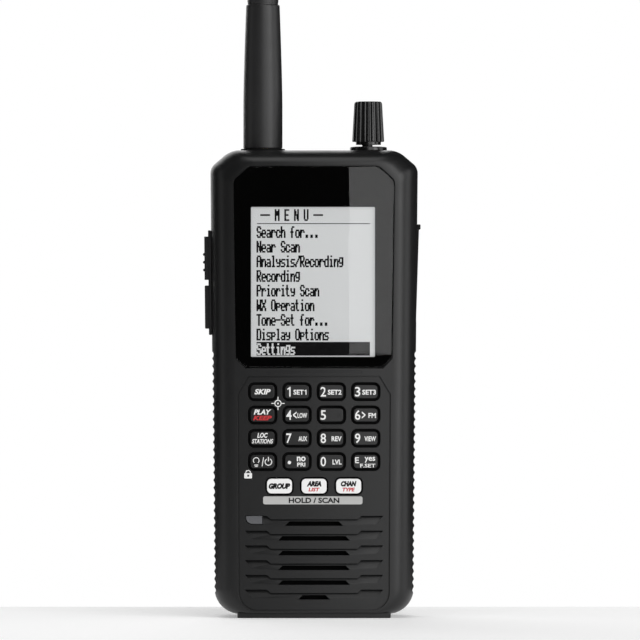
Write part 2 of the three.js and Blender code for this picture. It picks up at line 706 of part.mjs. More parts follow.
function frontCase() {
  const end = PARTING - SEAM / 2;
  const outer = caseForm(0, FRONT, end, FRONT_EDGE);
  const inner = caseForm(WALL, WALL_BACK, end + 1, FRONT_INNER_EDGE);
  const foot = block(-FOOT_HALF, FOOT_HALF, FRONT + FOOT_INSET, end, 0, FOOT_HEIGHT + 1);
  const bosses = SCREW_PLACES.map(([x, z]) => alongY(circle(x, z, BOSS_RADIUS, 12), WALL_BACK - 0.5, end));
  const bossHoles = SCREW_PLACES.map(([x, z]) => {
    return alongY(circle(x, z, SCREW_RADIUS + SLIDE, 10), SCREW_TIP - 1, end + 1);
  });
  const shell = joined(cut(outer, inner), foot, ...bosses.map((boss) => boss.intersect(outer)));
  const keyHoles = KEYS.map((key) => alongY(keyOutline(key, SLIDE), FRONT - 1, WALL_BACK + 1));
  const louvres = SLOT_HALVES.map((half, row) => louvreRow(row));
  const topHoles = [[ANTENNA_X, JACK_RADIUS], [KNOB_X, BUSHING_RADIUS], [EARPHONE_X, EARPHONE_RADIUS]]
    .map(([x, radius]) => alongZ(circle(x, TOP_Y, radius + FIT, 16), SHELL_TOP - 1, CASE_TOP + 1));
  const flapY = [SIDE_Y - FLAP_HALF - FIT, SIDE_Y + FLAP_HALF + FIT];
  return cut(
    shell,
    alongY(panelOutline(), FRONT - 1, PANEL_FLOOR),
    alongY(windowOutline(FIT), FRONT - 1, FRONT + WINDOW_POCKET),
    alongY(windowOutline(-WINDOW_LEDGE), FRONT - 1, WALL_BACK + 1),
    alongY(lightOutline(FIT), FRONT - 1, WALL_BACK + 1),
    ...keyHoles,
    ...louvres,
    ...bossHoles,
    ...topHoles,
    ribGrooves(-1, FRONT + RIB_FRONT, PARTING + 1),
    ribGrooves(1, FRONT + RIB_FRONT, PARTING + 1),
    sideBand(-1, BEZEL_LOW + 1 - FIT, BEZEL_HIGH - 1 + FIT,
      SIDE_Y - BUTTON_HALF - 0.9, SIDE_Y + BUTTON_HALF + 0.9, 1, WALL + 1),
    sideBand(1, FLAP_LOW - FLAP_NOTCH, FLAP_HIGH + FIT, flapY[0], flapY[1], 1, FLAP + FIT),
    sideBand(1, SOCKET_Z - PLUG_LENGTH / 2 - PLUG_ROOM, SOCKET_Z + PLUG_LENGTH / 2 + PLUG_ROOM,
      SIDE_Y - PLUG_WIDTH / 2 - PLUG_ROOM, SIDE_Y + PLUG_WIDTH / 2 + PLUG_ROOM, 1, WALL + 1),
  );
}

// ---------------------------------------------------------------- rear case and battery bay

function rearCase() {
  const start = PARTING + SEAM / 2;
  const outer = caseForm(0, BACK, start, BACK_EDGE);
  const inner = caseForm(WALL, BACK - WALL, start - 1, BACK_INNER_EDGE);
  const foot = block(-FOOT_HALF, FOOT_HALF, start, BACK - FOOT_INSET, 0, FOOT_HEIGHT + 1);
  const trayHalf = BAY_HALF + BAY_WALL;
  const tray = block(-trayHalf, trayHalf, BAY_FRONT - BAY_WALL, COVER_FRONT,
    BAY_LOW - BAY_WALL, BAY_HIGH + BAY_WALL);
  const frameHalf = COVER_HALF + COVER_TONGUE + BAY_WALL;
  const frame = block(-frameHalf, frameHalf, COVER_FRONT - WALL - 1, BACK,
    FOOT_HEIGHT + 1, COVER_HIGH + WALL);
  const posts = SCREW_PLACES.slice(2).map(([x, z]) => {
    return alongY(circle(x, z, SCREW_HEAD_RADIUS + 0.9, 12), start, BACK).intersect(outer);
  });
  const lowPosts = SCREW_PLACES.slice(0, 2).map(([x, z]) => {
    return alongY(circle(x, z, BOSS_RADIUS, 12), start, COVER_FRONT - WALL);
  });
  const clipPost = alongY(circle(0, BRACKET_SCREW_Z, BOSS_RADIUS, 12), BACK - WALL - 5, BACK - 1);
  const solids = [foot, tray, frame.intersect(outer), ...posts, ...lowPosts, clipPost];
  const shell = joined(cut(outer, inner), ...solids);
  const pocketHalf = COVER_HALF + SLIDE;
  const pocketFloor = COVER_FRONT - COVER_GAP;
  const grooveHalf = pocketHalf + COVER_TONGUE;
  return cut(
    shell,
    block(-BAY_HALF, BAY_HALF, BAY_FRONT, BACK + 1, BAY_LOW, BAY_HIGH),
    block(-pocketHalf, pocketHalf, pocketFloor, BACK + 1, FOOT_HEIGHT - 1, COVER_HIGH + SLIDE),
    block(-grooveHalf, grooveHalf, pocketFloor, COVER_FRONT + COVER / 2 + SLIDE,
      FOOT_HEIGHT - 1, COVER_HIGH + SLIDE),
    ribGrooves(-1, PARTING - 1, BACK - RIB_BACK),
    ribGrooves(1, PARTING - 1, BACK - RIB_BACK),
    block(-BRACKET_HALF - FIT, BRACKET_HALF + FIT, BACK - BRACKET_RECESS, BACK + 1,
      BRACKET_LOW - FIT, BRACKET_HIGH + FIT),
    alongY(circle(0, BRACKET_SCREW_Z, SCREW_RADIUS + SLIDE, 10), BACK - WALL - 4, BACK + 1),
    ...SCREW_PLACES.map(([x, z]) => alongY(circle(x, z, SCREW_RADIUS + SLIDE, 10), start - 1, BACK + 1)),
    ...SCREW_PLACES.map(([x, z]) => {
      return alongY(circle(x, z, SCREW_HEAD_RADIUS + SLIDE, 12), SCREW_HEAD_FRONT - REST, BACK + 1);
    }),
  );
}

function batteryCover() {
  const plate = alongY(rectangle(-COVER_HALF, COVER_HALF, COVER_LOW, COVER_HIGH, 1.2), COVER_FRONT, BACK);
  const tongues = [-1, 1].map((side) => {
    const inner = COVER_HALF - 1;
    const outer = COVER_HALF + COVER_TONGUE;
    const x0 = Math.min(side * inner, side * outer);
    const x1 = Math.max(side * inner, side * outer);
    return block(x0, x1, COVER_FRONT, COVER_FRONT + COVER / 2,
      COVER_LOW + 3, COVER_HIGH - COVER_TRAVEL / 2);
  });
  const grip = alongY(circle(0, COVER_HIGH - 9, 6, 20), BACK - 0.6, BACK + 1);
  return cut(joined(plate, ...tongues), grip);
}

// Negative end down
function cell() {
  const radius = CELL_DIAMETER / 2;
  return turned([
    [0, 0], [radius - 0.5, 0], [radius, 0.5], [radius, CELL_LENGTH - 0.5], [radius - 0.5, CELL_LENGTH],
    [CELL_BUTTON_RADIUS, CELL_LENGTH], [CELL_BUTTON_RADIUS, CELL_LENGTH + CELL_BUTTON],
    [0, CELL_LENGTH + CELL_BUTTON],
  ], 0, 0, 20);
}

function contactSpring(x, z, up) {
  const points = [];
  const turns = 3;
  const each = 8;
  for (let step = 0; step <= turns * each; step += 1) {
    const share = step / (turns * each);
    const angle = 2 * Math.PI * turns * share;
    const radius = 4.2 - 1.4 * share;
    const height = (CONTACT_ROOM - SPRING_WIRE - REST) * share;
    const y = CELL_Y + radius * Math.sin(angle);
    points.push(new THREE.Vector3(x + radius * Math.cos(angle), y, z + up * height));
  }
  return wire(points, SPRING_WIRE, turns * each);
}

// Contact plate at one end of the cells: springs on the negative ends, studs on the positive ones
function contactPlate(base, up, springColumns) {
  const inner = base + up * CONTACT_PLATE;
  const half = BAY_HALF - FIT;
  const plate = block(-half, half, BAY_FRONT + FIT, COVER_FRONT - COVER_GAP - 1,
    Math.min(base, inner), Math.max(base, inner));
  const ends = [-1, 0, 1].map((column) => {
    const x = column * CELL_PITCH;
    if (springColumns.includes(column)) {
      return contactSpring(x, inner, up);
    }
    const tip = inner + up * (CONTACT_ROOM - REST);
    const root = inner - up * CONTACT_PLATE / 2;
    return alongZ(circle(x, CELL_Y, 3, 12), Math.min(root, tip), Math.max(root, tip));
  });
  return joined(plate, ...ends);
}

function batteries() {
  const shape = geometryOf(cell());
  const left = part('battery_cell_left', CELL_JACKET, shape, -CELL_PITCH, CELL_Y, CELL_LOW);
  const middle = part('battery_cell_middle', CELL_JACKET, shape, 0, CELL_Y, CELL_HIGH);
  middle.rotation.x = Math.PI;
  const right = part('battery_cell_right', CELL_JACKET, shape, CELL_PITCH, CELL_Y, CELL_LOW);
  return group(left, middle, right);
}

// ---------------------------------------------------------------- display, boards and speaker

function lcdModule() {
  const low = WINDOW_LOW + LCD_MARGIN + WINDOW_LEDGE;
  const high = WINDOW_HIGH - LCD_MARGIN - WINDOW_LEDGE;
  return joined(
    block(-LCD_HALF, LCD_HALF, WALL_BACK + REST, WALL_BACK + REST + 1.4, low, high),
    block(-LCD_HALF + 1, LCD_HALF - 1, WALL_BACK + 1, WALL_BACK + LCD_DEPTH, low + 1, high - 1),
  );
}

function keypadBoard() {
  const low = BANK_LOW - KEY_LIP;
  const high = KEYS_HIGH + KEY_LIP + 1;
  const back = KEYPAD_BOARD_FRONT + BOARD;
  const sheet = alongY(rectangle(-MAT_HALF, MAT_HALF, low, high, 1), KEYPAD_BOARD_FRONT, back);
  const plug = block(-6, 6, back - 0.2, back + 2.6, low + 4, low + 8);
  return joined(sheet, plug);
}

const BUTTON_LOW = BEZEL_LOW + BUTTON_MARGIN;
const BUTTON_HIGH = BEZEL_HIGH - BUTTON_MARGIN;
const BUTTON_MIDDLE = (BUTTON_LOW + BUTTON_HIGH) / 2;
const BUTTON_SPANS = [
  [BUTTON_LOW, BUTTON_MIDDLE - BUTTON_GAP / 2],
  [BUTTON_MIDDLE + BUTTON_GAP / 2, BUTTON_HIGH],
];
const SOCKET_Z = (FLAP_LOW + FLAP_HIGH) / 2;
const BOARD_HALF = CASE_WIDTH / 2 - BOARD_SIDE_GAP;
const BOARD_LOW = FOOT_HEIGHT + LOW_SCREW_Z + BOSS_RADIUS + 2;
const BOARD_HIGH = CASE_TOP - HIGH_SCREW_DROP - BOSS_RADIUS - CLEAR - 0.5;

function mainBoard() {
  const edge = rectangle(-BOARD_HALF, BOARD_HALF, BOARD_LOW, BOARD_HIGH, 1.5);
  const sheet = alongY(edge, MAIN_BOARD_FRONT, MAIN_BOARD_BACK);
  const switches = BUTTON_SPANS.map(([z0, z1]) => {
    const middle = (z0 + z1) / 2;
    const face = halfWidth(middle) - WALL - BUTTON_LIP - BUTTON_TRAVEL - 2 * SLIDE;
    return block(-face, -BOARD_HALF + 3, SIDE_Y - 1.6, MAIN_BOARD_FRONT + 0.2, middle - 3, middle + 3);
  });
  const chips = [[-14, 44, 7, 7, 1.2], [8, 52, 5, 8, 1.4], [-12, 66, 6, 5, 1.0], [12, 30, 8, 4, 3.0]]
    .map(([x, z, half, rise, tall]) => {
      return block(x - half, x + half, MAIN_BOARD_FRONT - tall, MAIN_BOARD_FRONT + 0.2, z - rise, z + rise);
    });
  return joined(sheet, ...switches, ...chips);
}

function shieldCan() {
  const { left, right, drop, height, depth, wall } = SHIELD;
  const back = MAIN_BOARD_FRONT - REST;
  const high = BOARD_HIGH - drop;
  const low = high - height;
  return cut(
    block(left, right, back - depth, back, low, high),
    block(left + wall, right - wall, back - depth + wall, back + 1, low + wall, high - wall),
  );
}

const SPEAKER_Z = (GRILLE_LOW + GRILLE_HIGH) / 2;
const SPEAKER_FRONT = WALL_BACK + REST + MESH_THICKNESS + REST;

function speaker() {
  const rim = SPEAKER_RADIUS;
  const depth = SPEAKER_DEPTH;
  const driver = turned([
    [0, 1.6], [3.2, 1.0], [rim - 3.5, 0.5], [rim - 1.5, 0], [rim, 0], [rim, 1.4],
    [rim - 1.2, 1.8], [9, 3.0], [7.4, 3.2], [7.4, depth], [0, depth],
  ], 0, 0, 24);
  return driver.rotate([-90, 0, 0]).translate([0, SPEAKER_FRONT, SPEAKER_Z]);
}

// ---------------------------------------------------------------- top fittings

function antennaWhip() {
  const base = CASE_TOP + REST + WASHER + REST;
  const ring = CASE_TOP + ANTENNA_RING_HEIGHT;
  const tip = CASE_TOP + ANTENNA_HEIGHT;
  const upper = ANTENNA_RING_RADIUS - 0.4;
  const hollow = JACK_RADIUS + SLIDE + CONNECTOR_WALL + FIT;
  const roof = CASE_TOP + JACK_HEIGHT + 2 + FIT;
  return turned([
    [0, roof], [hollow, roof], [hollow, base], [ANTENNA_RADIUS, base],
    [ANTENNA_RADIUS, CASE_TOP + 16], [5.95, CASE_TOP + 30], [ANTENNA_RING_RADIUS, ring - 0.5],
    [ANTENNA_RING_RADIUS - 0.5, ring - 0.3], [ANTENNA_RING_RADIUS - 0.5, ring + 0.3],
    [upper, ring + 0.5], [ANTENNA_TIP_RADIUS, tip - 4], [ANTENNA_TIP_RADIUS * 0.85, tip - 1.8],
    [ANTENNA_TIP_RADIUS * 0.45, tip - 0.4], [0, tip],
  ], ANTENNA_X, TOP_Y, 20);
}

function antennaConnector() {
  const low = CASE_TOP + REST + WASHER + CLEAR;
  const high = CASE_TOP + JACK_HEIGHT + 2;
  const bore = JACK_RADIUS + SLIDE;
  const shell = turned([
    [0, high - 1.2], [bore, high - 1.2], [bore, low], [bore + CONNECTOR_WALL, low],
    [bore + CONNECTOR_WALL, high], [0, high],
  ], ANTENNA_X, TOP_Y, 16);
  const pin = alongZ(circle(ANTENNA_X, TOP_Y, 0.6, 8), high - 5, high - 1);
  return joined(shell, pin);
}

function antennaWasher() {
  const ring = circle(ANTENNA_X, TOP_Y, WASHER_RADIUS, 24);
  const hole = circle(ANTENNA_X, TOP_Y, JACK_RADIUS + CLEAR, 16);
  return cut(
    alongZ(ring, CASE_TOP + REST, CASE_TOP + REST + WASHER),
    alongZ(hole, CASE_TOP - 1, CASE_TOP + 2),
  );
}

function antennaJack() {
  const top = CASE_TOP + JACK_HEIGHT;
  const shoulder = SHELL_TOP - REST;
  return turned([
    [0, shoulder - 5], [2, shoulder - 5], [2, shoulder - 2], [4.6, shoulder - 2], [4.6, shoulder],
    [JACK_RADIUS, shoulder], [JACK_RADIUS, top], [1.7, top], [1.7, top - 6], [0, top - 6],
  ], ANTENNA_X, TOP_Y, 16);
}

// The shaft's round with a flat on it, which turns the rotor
function shaftOutline(radius, flat) {
  const half = Math.acos(flat / radius);
  const points = [];
  const steps = 12;
  for (let step = 0; step <= steps; step += 1) {
    const angle = half + (2 * Math.PI - 2 * half) * step / steps;
    points.push(new THREE.Vector2(KNOB_X + radius * Math.cos(angle), TOP_Y + radius * Math.sin(angle)));
  }
  return points;
}

const NUT_LOW = CASE_TOP + REST;
const NUT_HIGH = NUT_LOW + NUT;
const NECK_LOW = NUT_HIGH + PUSH_TRAVEL + FIT;
const SKIRT_LOW = NECK_LOW + NECK;
const KNOB_HIGH = SKIRT_LOW + KNOB_SKIRT;
const ENCODER_HIGH = SHELL_TOP - REST;
const ENCODER_LOW = ENCODER_HIGH - ENCODER_DEPTH;
const ROTOR_LOW = ENCODER_LOW + 2.2;
const SHAFT_LOW = ENCODER_LOW + 1.0 + PUSH_TRAVEL + SLIDE;
const SHAFT_HIGH = SKIRT_LOW + 9;

function fluted(radius) {
  const points = [];
  for (let flute = 0; flute < KNOB_FLUTES; flute += 1) {
    [[-0.3, radius], [0.3, radius], [0.5, radius - FLUTE_DEPTH]].forEach(([share, r]) => {
      const angle = 2 * Math.PI * (flute + share) / KNOB_FLUTES;
      points.push(new THREE.Vector2(KNOB_X + r * Math.cos(angle), TOP_Y + r * Math.sin(angle)));
    });
  }
  return points;
}

function volumeKnob() {
  const skirt = loft(
    [KNOB_BASE_RADIUS, KNOB_TOP_RADIUS + 0.05, KNOB_TOP_RADIUS - 0.4].map(fluted),
    [SKIRT_LOW, KNOB_HIGH - 0.5, KNOB_HIGH],
  );
  const neck = alongZ(circle(KNOB_X, TOP_Y, NECK_RADIUS, 20), NECK_LOW, SKIRT_LOW + 1);
  const hole = shaftOutline(SHAFT_RADIUS + REST, SHAFT_FLAT + REST);
  const bore = alongZ(hole, NECK_LOW - 1, SHAFT_HIGH + REST);
  return cut(joined(skirt, neck), bore);
}

function encoderNut() {
  return cut(
    alongZ(circle(KNOB_X, TOP_Y, NUT_RADIUS, 20), NUT_LOW, NUT_HIGH),
    alongZ(circle(KNOB_X, TOP_Y, BUSHING_RADIUS + FIT, 16), NUT_LOW - 1, NUT_HIGH + 1),
  );
}

function encoderBody() {
  const half = ENCODER_SIZE / 2;
  const can = block(KNOB_X - half, KNOB_X + half, TOP_Y - half, TOP_Y + half,
    ENCODER_LOW, ENCODER_HIGH);
  const bushing = alongZ(circle(KNOB_X, TOP_Y, BUSHING_RADIUS, 16), ENCODER_HIGH - 1, NUT_HIGH - REST);
  const room = alongZ(circle(KNOB_X, TOP_Y, ROTOR_RADIUS + CLEAR, 16),
    ENCODER_LOW + 1, ROTOR_LOW + ROTOR + CLEAR);
  const bore = alongZ(circle(KNOB_X, TOP_Y, SHAFT_RADIUS + CLEAR, 16), ROTOR_LOW, NUT_HIGH + 1);
  return cut(joined(can, bushing), room, bore);
}

function encoderRotor() {
  return cut(
    alongZ(circle(KNOB_X, TOP_Y, ROTOR_RADIUS, 16), ROTOR_LOW, ROTOR_LOW + ROTOR),
    alongZ(shaftOutline(SHAFT_RADIUS + FIT, SHAFT_FLAT + FIT), ROTOR_LOW - 1, ROTOR_LOW + ROTOR + 1),
  );
}

function earphoneJack() {
  const shoulder = SHELL_TOP - REST;
  const rim = CASE_TOP + FIT;
  const floor = shoulder - EARPHONE_BODY;
  const body = block(EARPHONE_X - 3.6, EARPHONE_X + 3.6, TOP_Y - 3.4, TOP_Y + 3.4, floor, shoulder);
  const sleeve = alongZ(circle(EARPHONE_X, TOP_Y, EARPHONE_RADIUS, 16), shoulder - 1, rim);
  const bore = alongZ(circle(EARPHONE_X, TOP_Y, EARPHONE_BORE, 12), floor + 1, rim + 1);
  return cut(joined(body, sleeve), bore);
}

// ---------------------------------------------------------------- side fittings

function sideBezel() {
  const plate = sideBand(-1, BEZEL_LOW, BEZEL_HIGH,
    SIDE_Y - BEZEL_HALF, SIDE_Y + BEZEL_HALF, BEZEL_PROUD, -REST);
  const sleeve = sideBand(-1, BEZEL_LOW + 1, BEZEL_HIGH - 1,
    SIDE_Y - BUTTON_HALF - 0.9 + FIT, SIDE_Y + BUTTON_HALF + 0.9 - FIT, BEZEL_PROUD, WALL);
  const windows = BUTTON_SPANS.map(([z0, z1]) => {
    return sideBand(-1, z0 - SLIDE, z1 + SLIDE,
      SIDE_Y - BUTTON_HALF - SLIDE, SIDE_Y + BUTTON_HALF + SLIDE, 2, WALL + 1);
  });
  return cut(joined(plate, sleeve), ...windows);
}

function sideButton([z0, z1], ridges) {
  const cap = sideBand(-1, z0, z1,
    SIDE_Y - BUTTON_HALF, SIDE_Y + BUTTON_HALF, BUTTON_PROUD, WALL + REST + 0.2);
  const lip = sideBand(-1, z0 - BUTTON_LIP, z1 + BUTTON_LIP,
    SIDE_Y - BUTTON_HALF - BUTTON_LIP, SIDE_Y + BUTTON_HALF + BUTTON_LIP,
    -WALL - REST, WALL + REST + BUTTON_LIP);
  const middle = (z0 + z1) / 2;
  const ribs = ridges.map((offset) => {
    const z = middle + offset;
    const out = halfWidth(z) + BUTTON_PROUD;
    const bump = circle(-out, z, BUTTON_RIDGE, 8);
    return alongY(bump, SIDE_Y - BUTTON_HALF + 0.3, SIDE_Y + BUTTON_HALF - 0.3);
  });
  return joined(cap, lip, ...ribs);
}

function usbFlap() {
  const plate = alongY([
    [halfWidth(FLAP_LOW) - FLAP, FLAP_LOW],
    [halfWidth(FLAP_LOW), FLAP_LOW],
    [halfWidth(FLAP_HIGH) + 0.6, FLAP_HIGH - FLAP_TAB],
    [halfWidth(FLAP_HIGH) + 1.1, FLAP_HIGH - FLAP_TAB],
    [halfWidth(FLAP_HIGH) + 1.1, FLAP_HIGH],
    [halfWidth(FLAP_HIGH) - FLAP, FLAP_HIGH],
  ].map(([x, z]) => new THREE.Vector2(x, z)), SIDE_Y - FLAP_HALF, SIDE_Y + FLAP_HALF);
  const plug = sideBand(1, SOCKET_Z - PLUG_LENGTH / 2, SOCKET_Z + PLUG_LENGTH / 2,
    SIDE_Y - PLUG_WIDTH / 2, SIDE_Y + PLUG_WIDTH / 2, -FLAP / 2, FLAP + PLUG_DEPTH);
  return joined(plate, plug);
}

function usbSocket() {
  const { length, width, depth, wall } = SOCKET;
  const face = halfWidth(SOCKET_Z) - FLAP - PLUG_DEPTH - PLUG_ROOM;
  const back = MAIN_BOARD_FRONT - REST;
  const y = back - width / 2;
  const shell = block(face - depth, face, back - width, back, SOCKET_Z - length / 2, SOCKET_Z + length / 2);
  const mouth = block(face - depth + 1.5, face + 1, back - width + wall, back - wall,
    SOCKET_Z - length / 2 + wall, SOCKET_Z + length / 2 - wall);
  const tongue = block(face - depth + 1, face - 1, y - 0.4, y + 0.4, SOCKET_Z - 2.4, SOCKET_Z + 2.4);
  return joined(cut(shell, mouth), tongue);
}

// ---------------------------------------------------------------- belt clip

function beltClip() {
  const inner = CLIP_INNER;
  const outer = inner + CLIP_THICKNESS;
  const lever = alongX([
    [BACK + CLEAR, CLIP_TOE + 1.2], [BACK + CLEAR + 0.6, CLIP_TOE], [BACK + 2.2, CLIP_TOE],
    [outer - 0.8, CLIP_TOE + 9], [outer, CLIP_TOE + 13], [outer, CLIP_PIN_Z + 7],
    [outer + 2.2, CLIP_THUMB - 0.8], [outer + 1.6, CLIP_THUMB], [inner + 1.6, CLIP_THUMB],
    [inner, CLIP_PIN_Z + 8], [inner, CLIP_TOE + 13], [inner - 0.8, CLIP_TOE + 10.2],
    [BACK + 1.4, CLIP_TOE + 2.6],
  ].map(([y, z]) => new THREE.Vector2(y, z)), -CLIP_HALF, CLIP_HALF);
  const cheekOuter = BRACKET_HALF - EAR - 2 * CLEAR;
  const hub = [
    alongX(circle(CLIP_PIN_Y, CLIP_PIN_Z, CLIP_HUB, 14), cheekOuter - CHEEK, cheekOuter),
    block(cheekOuter - CHEEK, cheekOuter, CLIP_PIN_Y, inner + 0.5, CLIP_PIN_Z - 2.2, CLIP_PIN_Z + 2.2),
  ];
  const hubs = [...hub, ...hub.map((piece) => piece.mirror([1, 0, 0]))];
  const bore = alongX(circle(CLIP_PIN_Y, CLIP_PIN_Z, CLIP_PIN_RADIUS + SLIDE, 12), -CLIP_HALF, CLIP_HALF);
  return cut(joined(lever, ...hubs), bore);
}

function clipBracket() {
  const plate = alongY(
    rectangle(-BRACKET_HALF, BRACKET_HALF, BRACKET_LOW, BRACKET_HIGH, 0), BRACKET_FRONT, BRACKET_BACK);
  const ear = [
    alongX(circle(CLIP_PIN_Y, CLIP_PIN_Z, CLIP_HUB - 0.1, 14), BRACKET_HALF - EAR, BRACKET_HALF),
    block(BRACKET_HALF - EAR, BRACKET_HALF, BRACKET_BACK - 0.5, CLIP_PIN_Y,
      CLIP_PIN_Z - 2.4, CLIP_PIN_Z + 2.4),
  ];
  const ears = [...ear, ...ear.map((piece) => piece.mirror([1, 0, 0]))];
  return cut(
    joined(plate, ...ears),
    alongX(circle(CLIP_PIN_Y, CLIP_PIN_Z, CLIP_PIN_RADIUS + FIT, 12), -BRACKET_HALF - 1, BRACKET_HALF + 1),
    alongY(circle(0, BRACKET_SCREW_Z, SCREW_RADIUS + SLIDE, 10), BRACKET_FRONT - 1, BRACKET_BACK + 1),
  );
}

// The coil sits on the pin; one leg lies on the bracket and the other reaches up behind the clip
function clipSpring() {
  const coil = CLIP_PIN_RADIUS + SPRING_WIRE + CLEAR + 0.1;
  const turns = 3;
  const each = 8;
  const half = BRACKET_HALF - EAR - CHEEK - 3 * CLEAR - 0.8;
  const leg = 6;
  const points = [new THREE.Vector3(-half, CLIP_PIN_Y - coil, CLIP_PIN_Z + leg)];
  for (let step = 0; step <= (turns + 0.5) * each; step += 1) {
    const share = step / ((turns + 0.5) * each);
    const angle = Math.PI + 2 * Math.PI * step / each;
    const y = CLIP_PIN_Y + coil * Math.cos(angle);
    const z = CLIP_PIN_Z + coil * Math.sin(angle);
    points.push(new THREE.Vector3(-half + 2 * half * share, y, z));
  }
  points.push(new THREE.Vector3(half, CLIP_PIN_Y + coil - 1.6, CLIP_PIN_Z + leg - 0.3));
  return wire(points, SPRING_WIRE, points.length - 1);
}

// ---------------------------------------------------------------- screws

// The head's seat is at the origin and the shank runs towards -Y
function screw(length) {
  const shape = turned([
    [0, -length], [SCREW_RADIUS * 0.5, -length], [SCREW_RADIUS, 0.8 - length], [SCREW_RADIUS, 0],
    [SCREW_HEAD_RADIUS, 0], [SCREW_HEAD_RADIUS, SCREW_HEAD * 0.6], [SCREW_HEAD_RADIUS * 0.7, SCREW_HEAD],
    [0, SCREW_HEAD],
  ], 0, 0, 12).rotate([-90, 0, 0]);
  const slots = [0, 90].map((angle) => {
    return block(-1.3, 1.3, SCREW_HEAD - 0.8, SCREW_HEAD + 1, -0.3, 0.3).rotate([0, angle, 0]);
  });
  return cut(shape, ...slots);
}

function caseScrews() {
  const shape = geometryOf(screw(SCREW_LENGTH));
  const names = ['low_left', 'low_right', 'high_left', 'high_right'];
  return group(...SCREW_PLACES.map(([x, z], i) => {
    return part(`case_screw_${names[i]}`, STEEL, shape, x, SCREW_HEAD_FRONT, z);
  }));
}

// ---------------------------------------------------------------- assembly

const lensFront = FRONT + WINDOW_POCKET - REST - LENS;
const lightFront = PANEL_FLOOR + FIT;
const pinHalf = BRACKET_HALF - 0.2;

const frontHalf = group(
  part('front_case', CASE_PLASTIC, frontCase()),
  part('display_window', LENS_PLASTIC, alongY(windowOutline(0), lensFront, lensFront + LENS)),
  part('lcd_module', LCD_GLASS, lcdModule()),
  part('keypad_mat', RUBBER, keypadMat()),
  part('keypad_board', BOARD_GREEN, keypadBoard()),
  part('speaker', SPEAKER_PAPER, speaker()),
  part('speaker_mesh', RUBBER, alongY(circle(0, SPEAKER_Z, SPEAKER_RADIUS - 0.5, 24),
    WALL_BACK + REST, WALL_BACK + REST + MESH_THICKNESS)),
  part('alert_light', LIGHT_PLASTIC, joined(
    alongY(lightOutline(0), lightFront, WALL_BACK + 1),
    alongY(lightOutline(0.5), WALL_BACK + REST, WALL_BACK + 1),
  )),
  keypad(),
);

const boards = group(
  part('main_board', BOARD_GREEN, mainBoard()),
  part('rf_shield', STEEL, shieldCan()),
  part('usb_socket', STEEL, usbSocket()),
  part('earphone_jack', STEEL, earphoneJack()),
);

const antenna = group(
  part('sma_jack', BRASS, antennaJack()),
  part('antenna_washer', RUBBER, antennaWasher()),
  part('antenna_connector', BRASS, antennaConnector()),
  part('antenna_whip', RUBBER, antennaWhip()),
);

const control = group(
  part('encoder_body', STEEL, encoderBody()),
  part('encoder_rotor', WHITE_PLASTIC, encoderRotor()),
  part('encoder_shaft', STEEL, alongZ(shaftOutline(SHAFT_RADIUS, SHAFT_FLAT), SHAFT_LOW, SHAFT_HIGH)),
  part('encoder_nut', KNOB_PLASTIC, encoderNut()),
  part('volume_knob', KNOB_PLASTIC, volumeKnob()),
);

const sides = group(
  part('side_key_bezel', CASE_PLASTIC, sideBezel()),
  part('menu_button', KEY_PLASTIC, sideButton(BUTTON_SPANS[0], [])),
  part('func_button', KEY_PLASTIC, sideButton(BUTTON_SPANS[1], [-3.8, -1.3, 1.2])),
  part('usb_cover', RUBBER, usbFlap()),
);

const rearHalf = group(
  part('rear_case', CASE_PLASTIC, rearCase()),
  part('battery_cover', CASE_PLASTIC, batteryCover()),
  part('battery_contact_low', STEEL, contactPlate(BAY_LOW + REST, 1, [-1, 1])),
  part('battery_contact_high', STEEL, contactPlate(BAY_HIGH - REST, -1, [0])),
  batteries(),
  caseScrews(),
);

const clip = group(
  part('clip_bracket', STEEL, clipBracket()),
  part('clip_screw', STEEL, screw(5), 0, BRACKET_BACK + REST, BRACKET_SCREW_Z),
  part('clip_pin', STEEL, alongX(circle(CLIP_PIN_Y, CLIP_PIN_Z, CLIP_PIN_RADIUS, 12), -pinHalf, pinHalf)),
  part('clip_spring', STEEL, clipSpring()),
  part('belt_clip', CASE_PLASTIC, beltClip()),
);

export default group(frontHalf, boards, antenna, control, sides, rearHalf, clip);
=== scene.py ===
# %% [markdown]
# # A handheld scanning receiver
# A pocket radio that stands upright on its foot: two moulded case halves, a glossy window over a
# liquid-crystal display, a rubber-backed keypad, a louvred grille, a fluted knob and a rubber antenna.
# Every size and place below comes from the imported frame, in metres, so that nothing is fitted by eye.

# %% Load the frame
import math

import bmesh
import bpy
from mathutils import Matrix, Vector


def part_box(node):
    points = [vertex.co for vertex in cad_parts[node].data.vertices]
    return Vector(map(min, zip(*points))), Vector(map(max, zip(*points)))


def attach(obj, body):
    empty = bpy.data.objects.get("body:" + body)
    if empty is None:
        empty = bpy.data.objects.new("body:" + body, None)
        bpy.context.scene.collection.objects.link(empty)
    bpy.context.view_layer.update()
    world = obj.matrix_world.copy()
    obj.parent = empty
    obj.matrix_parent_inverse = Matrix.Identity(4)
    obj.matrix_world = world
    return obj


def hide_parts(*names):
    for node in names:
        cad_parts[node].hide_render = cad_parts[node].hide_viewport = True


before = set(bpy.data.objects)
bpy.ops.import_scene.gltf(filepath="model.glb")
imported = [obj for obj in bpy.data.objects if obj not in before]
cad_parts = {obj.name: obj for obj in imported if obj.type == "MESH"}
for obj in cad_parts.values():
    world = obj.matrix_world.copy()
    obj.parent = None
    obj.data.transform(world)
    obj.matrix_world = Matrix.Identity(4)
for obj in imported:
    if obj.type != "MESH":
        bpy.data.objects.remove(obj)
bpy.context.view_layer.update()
mm = 0.001

# %% [markdown]
# ## Tools for modelling
# Blender's operators act on whatever is selected, and loading the frame leaves the CAD nodes selected.
# So each step starts by deselecting everything, and inside a mesh the faces and edges to work on are
# picked in code, by their place or by the way they face, just as they would be picked by eye.

